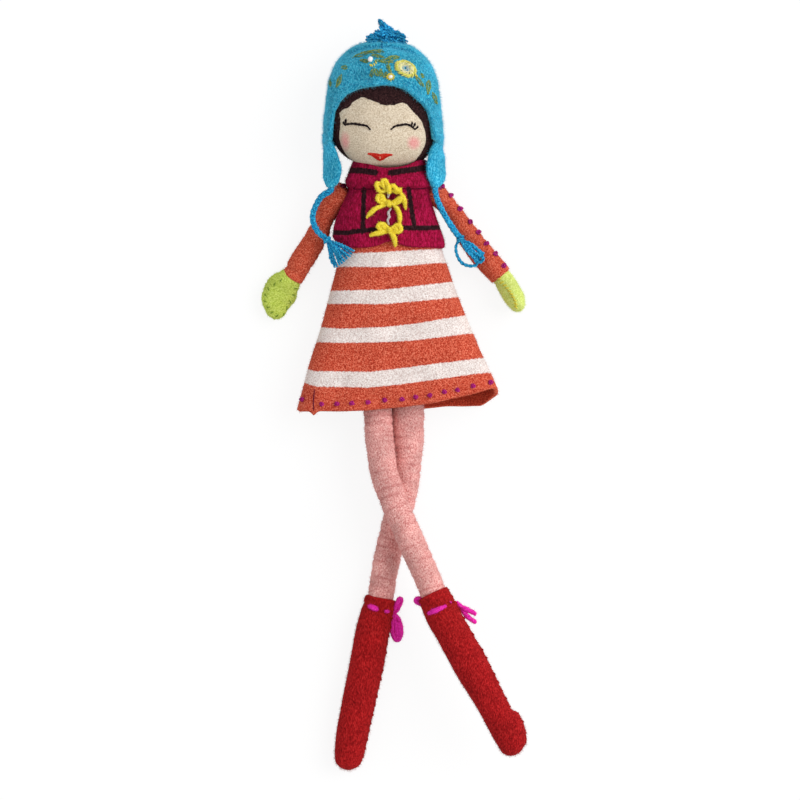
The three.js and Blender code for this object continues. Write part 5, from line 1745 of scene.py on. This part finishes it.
# Mitten stitches: darker green thread that oversews the edge of the right mitten, where its two
# layers of felt meet. The left mitten shows its seam from the front, oversewn in yellow thread.
green_thread = wool("green thread", (126, 154, 52), (158, 180, 80), (90, 118, 32), grain=0.5)
seam_thread = wool("yellow thread", (230, 216, 66), (246, 236, 130), (190, 170, 30), grain=0.5)
MITTEN_EDGES = {
    "right": (
        green_thread, 0.9, (280, 298),
        [
            (281, 279.5), (274.5, 283.5), (268, 288.5), (265, 295), (264.5, 301.5),
            (267.5, 307.5), (271.5, 313), (277, 316.5), (283.5, 315), (287, 308.5), (291, 302),
            (294.5, 295), (296.5, 288),
        ],
    ),
    "left": (
        seam_thread, 1.5, (490, 305),
        [
            (499.6, 278.5), (502.2, 282), (505, 285), (507.6, 287.8), (510, 290.6), (512, 293.6),
            (513.8, 296.8), (515.4, 300.2), (516.4, 303.6), (516.6, 306.8),
        ],
    ),
}
for side, (colour, thickness, centre, places) in MITTEN_EDGES.items():
    lay = lying_on(mittens[side])
    routes = []
    for place in places:
        inward = (Vector(centre) - Vector(place)).normalized()
        slant = Vector((-inward.y, inward.x)) * 1.2
        start, end = Vector(place) - inward * 0.8 - slant, Vector(place) + inward * 2.2 + slant
        routes.append(stitch(lay, start, end, 0.3))
    made = thread(side + "_mitten_stitches", routes, thickness, colour, sides=5, taper=0.3)
    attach(made, side + "_arm")

# Boot laces: hot pink yarn run in and out of the felt round the top of each boot. The left one is
# tied in a bow, and the right one hangs in two ends.
LACE_YARN = 2.8
hot_pink = wool(
    "hot pink yarn", (238, 36, 176), (250, 82, 198), (192, 16, 132), grain=0.5, patch=0.1
)
LACE_DASHES = {
    "right": [[(428, 613.5), (436, 610.5), (446.5, 605.5)], [(450.5, 602.5), (455, 599.5)]],
    "left": [[(368.5, 606), (373, 607.5), (378, 609.5)], [(384.5, 611), (389, 611.5)]],
}
LACE_ENDS = {
    "right": [
        [
            (424, 604.5, 30.5), (418.5, 603, 30), (415.8, 600.4, 29.5), (418.5, 598.4, 30),
            (423, 600, 30.5),
        ],
        [(456, 602, 30), (462, 607, 30), (468, 610, 28.5), (475.5, 614, 26)],
        [(456, 603, 29), (463, 611, 28.5), (468, 617, 27), (475.5, 622.5, 24)],
    ],
    "left": [
        [
            (392, 613, 9.5), (395.5, 607, 10.5), (399, 599.5, 10), (401, 600, 8.5),
            (397.5, 609, 8.5), (393, 614, 8),
        ],
        [
            (392.5, 613, 9), (392, 622, 8), (392.5, 632, 4.5), (396, 640, 2.2), (400, 637.5, 2),
            (400.8, 628, 3.5), (398, 618, 7), (393, 613.5, 9),
        ],
        [
            (392.5, 614, 8.5), (395.4, 622, 7.2), (396.6, 631, 4.6), (397.4, 637, 2.6),
            (399.4, 632, 4), (398, 622, 7),
        ],
    ],
}
laces = {}
for side in ("right", "left"):
    lay = lying_on(boots[side])
    routes = []
    for dash in LACE_DASHES[side]:
        inner = [0.9] * len(dash)
        inner[0] = inner[-1] = -0.6
        routes.append(line_through([lay(*place, lift) for place, lift in zip(dash, inner)], 0.6))
    routes += [line_through([seen(*place) for place in end], 0.6) for end in LACE_ENDS[side]]
    lace = thread(
        side + "_boot_lace_yarn", routes, LACE_YARN, hot_pink, plies=1, sides=10, taper=0.25
    )
    uneven(lace, 0.3, 1.4, 5)
    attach(lace, side + "_leg")
    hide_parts(side + "_boot_lace")
    laces[side] = lace

# Fuzz: loose wool fibres that stand out of every knitted, felted or yarn piece, bent at random and
# tapered to a point, and combed down along the boots.
FIBRES, given, result = nodes_tree(
    "loose fibres",
    {
        "Density": "Float", "Length": "Float", "Thickness": "Float", "Comb": "Vector",
        "Spread": "Float", "Seed": "Int", "Material": "Material",
    },
)
TABLE_GAP = 1.6  # millimetres over the table in which no fibre grows
nap = output(FIBRES, "GeometryNodeInputNamedAttribute", {"Name": "nap"}, data_type="FLOAT")
seed = given["Seed"]


def between(low, high):
    """A random number between two values for each fibre."""
    limits = {2: low, 3: high, "Seed": seed}
    return node(FIBRES, "FunctionNodeRandomValue", limits, data_type="FLOAT").outputs[1]


place = output(FIBRES, "GeometryNodeInputPosition")
level = node(FIBRES, "ShaderNodeSeparateXYZ", {0: place}).outputs["Z"]
nap = sums(FIBRES, "MULTIPLY", nap, sums(FIBRES, "GREATER_THAN", level, TABLE_GAP * MM))
density = sums(FIBRES, "MULTIPLY", given["Density"], nap)
sown = {"Mesh": given["Geometry"], "Density": density, "Seed": seed}
spots = node(FIBRES, "GeometryNodeDistributePointsOnFaces", sown).outputs
cone = {"Vertices": 3, "Side Segments": 2, "Radius Top": 0.0}
cone |= {"Radius Bottom": given["Thickness"], "Depth": given["Length"]}
stem = node(FIBRES, "GeometryNodeMeshCone", cone, fill_type="NONE").outputs["Mesh"]
square = sums(FIBRES, "MULTIPLY", level, level)
droop = sums(FIBRES, "MULTIPLY", sums(FIBRES, "DIVIDE", square, given["Length"]), 0.7)
droop = output(FIBRES, "ShaderNodeCombineXYZ", {0: droop})
bent = output(FIBRES, "GeometryNodeSetPosition", {"Geometry": stem, "Offset": droop})
limits = {0: (-1, -1, -1), 1: (1, 1, 1), "Seed": seed}
loose = output(FIBRES, "FunctionNodeRandomValue", limits, data_type="FLOAT_VECTOR")
lean = vectors(FIBRES, "ADD", vectors(FIBRES, "SCALE", loose, given["Spread"]), given["Comb"])
lean = vectors(FIBRES, "ADD", lean, spots["Normal"])
turned = output(FIBRES, "FunctionNodeAlignRotationToVector", {"Vector": lean}, axis="Z")
spin = {"Axis": (0, 0, 1), "Angle": between(0.0, math.tau)}
spin = output(FIBRES, "FunctionNodeAxisAngleToRotation", spin)
turned = output(FIBRES, "FunctionNodeRotateRotation", {0: turned, 1: spin}, rotation_space="LOCAL")
standing = {"Instance": bent, "Rotation": turned, "Scale": between(0.4, 1.3)}
standing = {"Points": spots["Points"], **standing}
closed(FIBRES, output(FIBRES, "GeometryNodeInstanceOnPoints", standing), given, result)


def fuzz(
    piece, body, length, density, seed,
    comb=(0, 0, 0), spread=1.0, thickness=0.055, material=None,
):
    """Loose fibres on a piece: so many on a square millimetre, in millimetres of length."""
    made = grown(
        FIBRES, piece, piece.name + "_fuzz", density=density / MM**2, length=length * MM,
        thickness=thickness * MM, comb=comb, spread=spread, seed=seed,
        material=material or piece.data.materials[0],
    )
    if body:
        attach(made, body)
    return made


fuzz(dress, "torso", 1.2, 0.85, 1)
fuzz(vest, "torso", 1.2, 1.2, 2)
fuzz(head, "head", 0.7, 0.9, 3)
fuzz(hair, "head", 1.3, 1.6, 4)
# The hat's fibres are a lighter copy of its knit: painted light along the hat's edges.
lit_turquoise_fibres = wool(
    "turquoise fibres", (104, 204, 228), (160, 230, 242), (54, 164, 204), grain=0.6
)
fuzz(hat, "head", 1.5, 2.2, 5, material=lit_turquoise_fibres)
fuzz(pompom, "head", 1.6, 0.5, 6)
for k, side in enumerate(("right", "left")):
    fuzz(arms[side], side + "_arm", 1.2, 1.4, 10 + k)
    fuzz(mittens[side], side + "_arm", 1.1, 1.8, 20 + k)
    fuzz(legs[side], side + "_leg", 1.2, 1.1, 30 + k)
    comb = (0.5 if side == "right" else -0.2, -0.9, 0)
    fuzz(boots[side], side + "_leg", 1.5, 1.7, 40 + k, comb=comb)
    fuzz(braids[side], side + "_earflap", 0.9, 1.5, 60 + k)
    fuzz(tassels[side], side + "_earflap", 0.9, 1.2, 70 + k)
    fuzz(laces[side], side + "_leg", 1.0, 3.6, 80 + k)
    soft = fuzz(flaps[side], None, 1.3, 1.8, 50 + k)
    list(FLAP_FOLD[side])
    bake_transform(soft)
for k, bow in enumerate(bows):
    fuzz(bow, "torso", 1.0, 3.6, 90 + k)
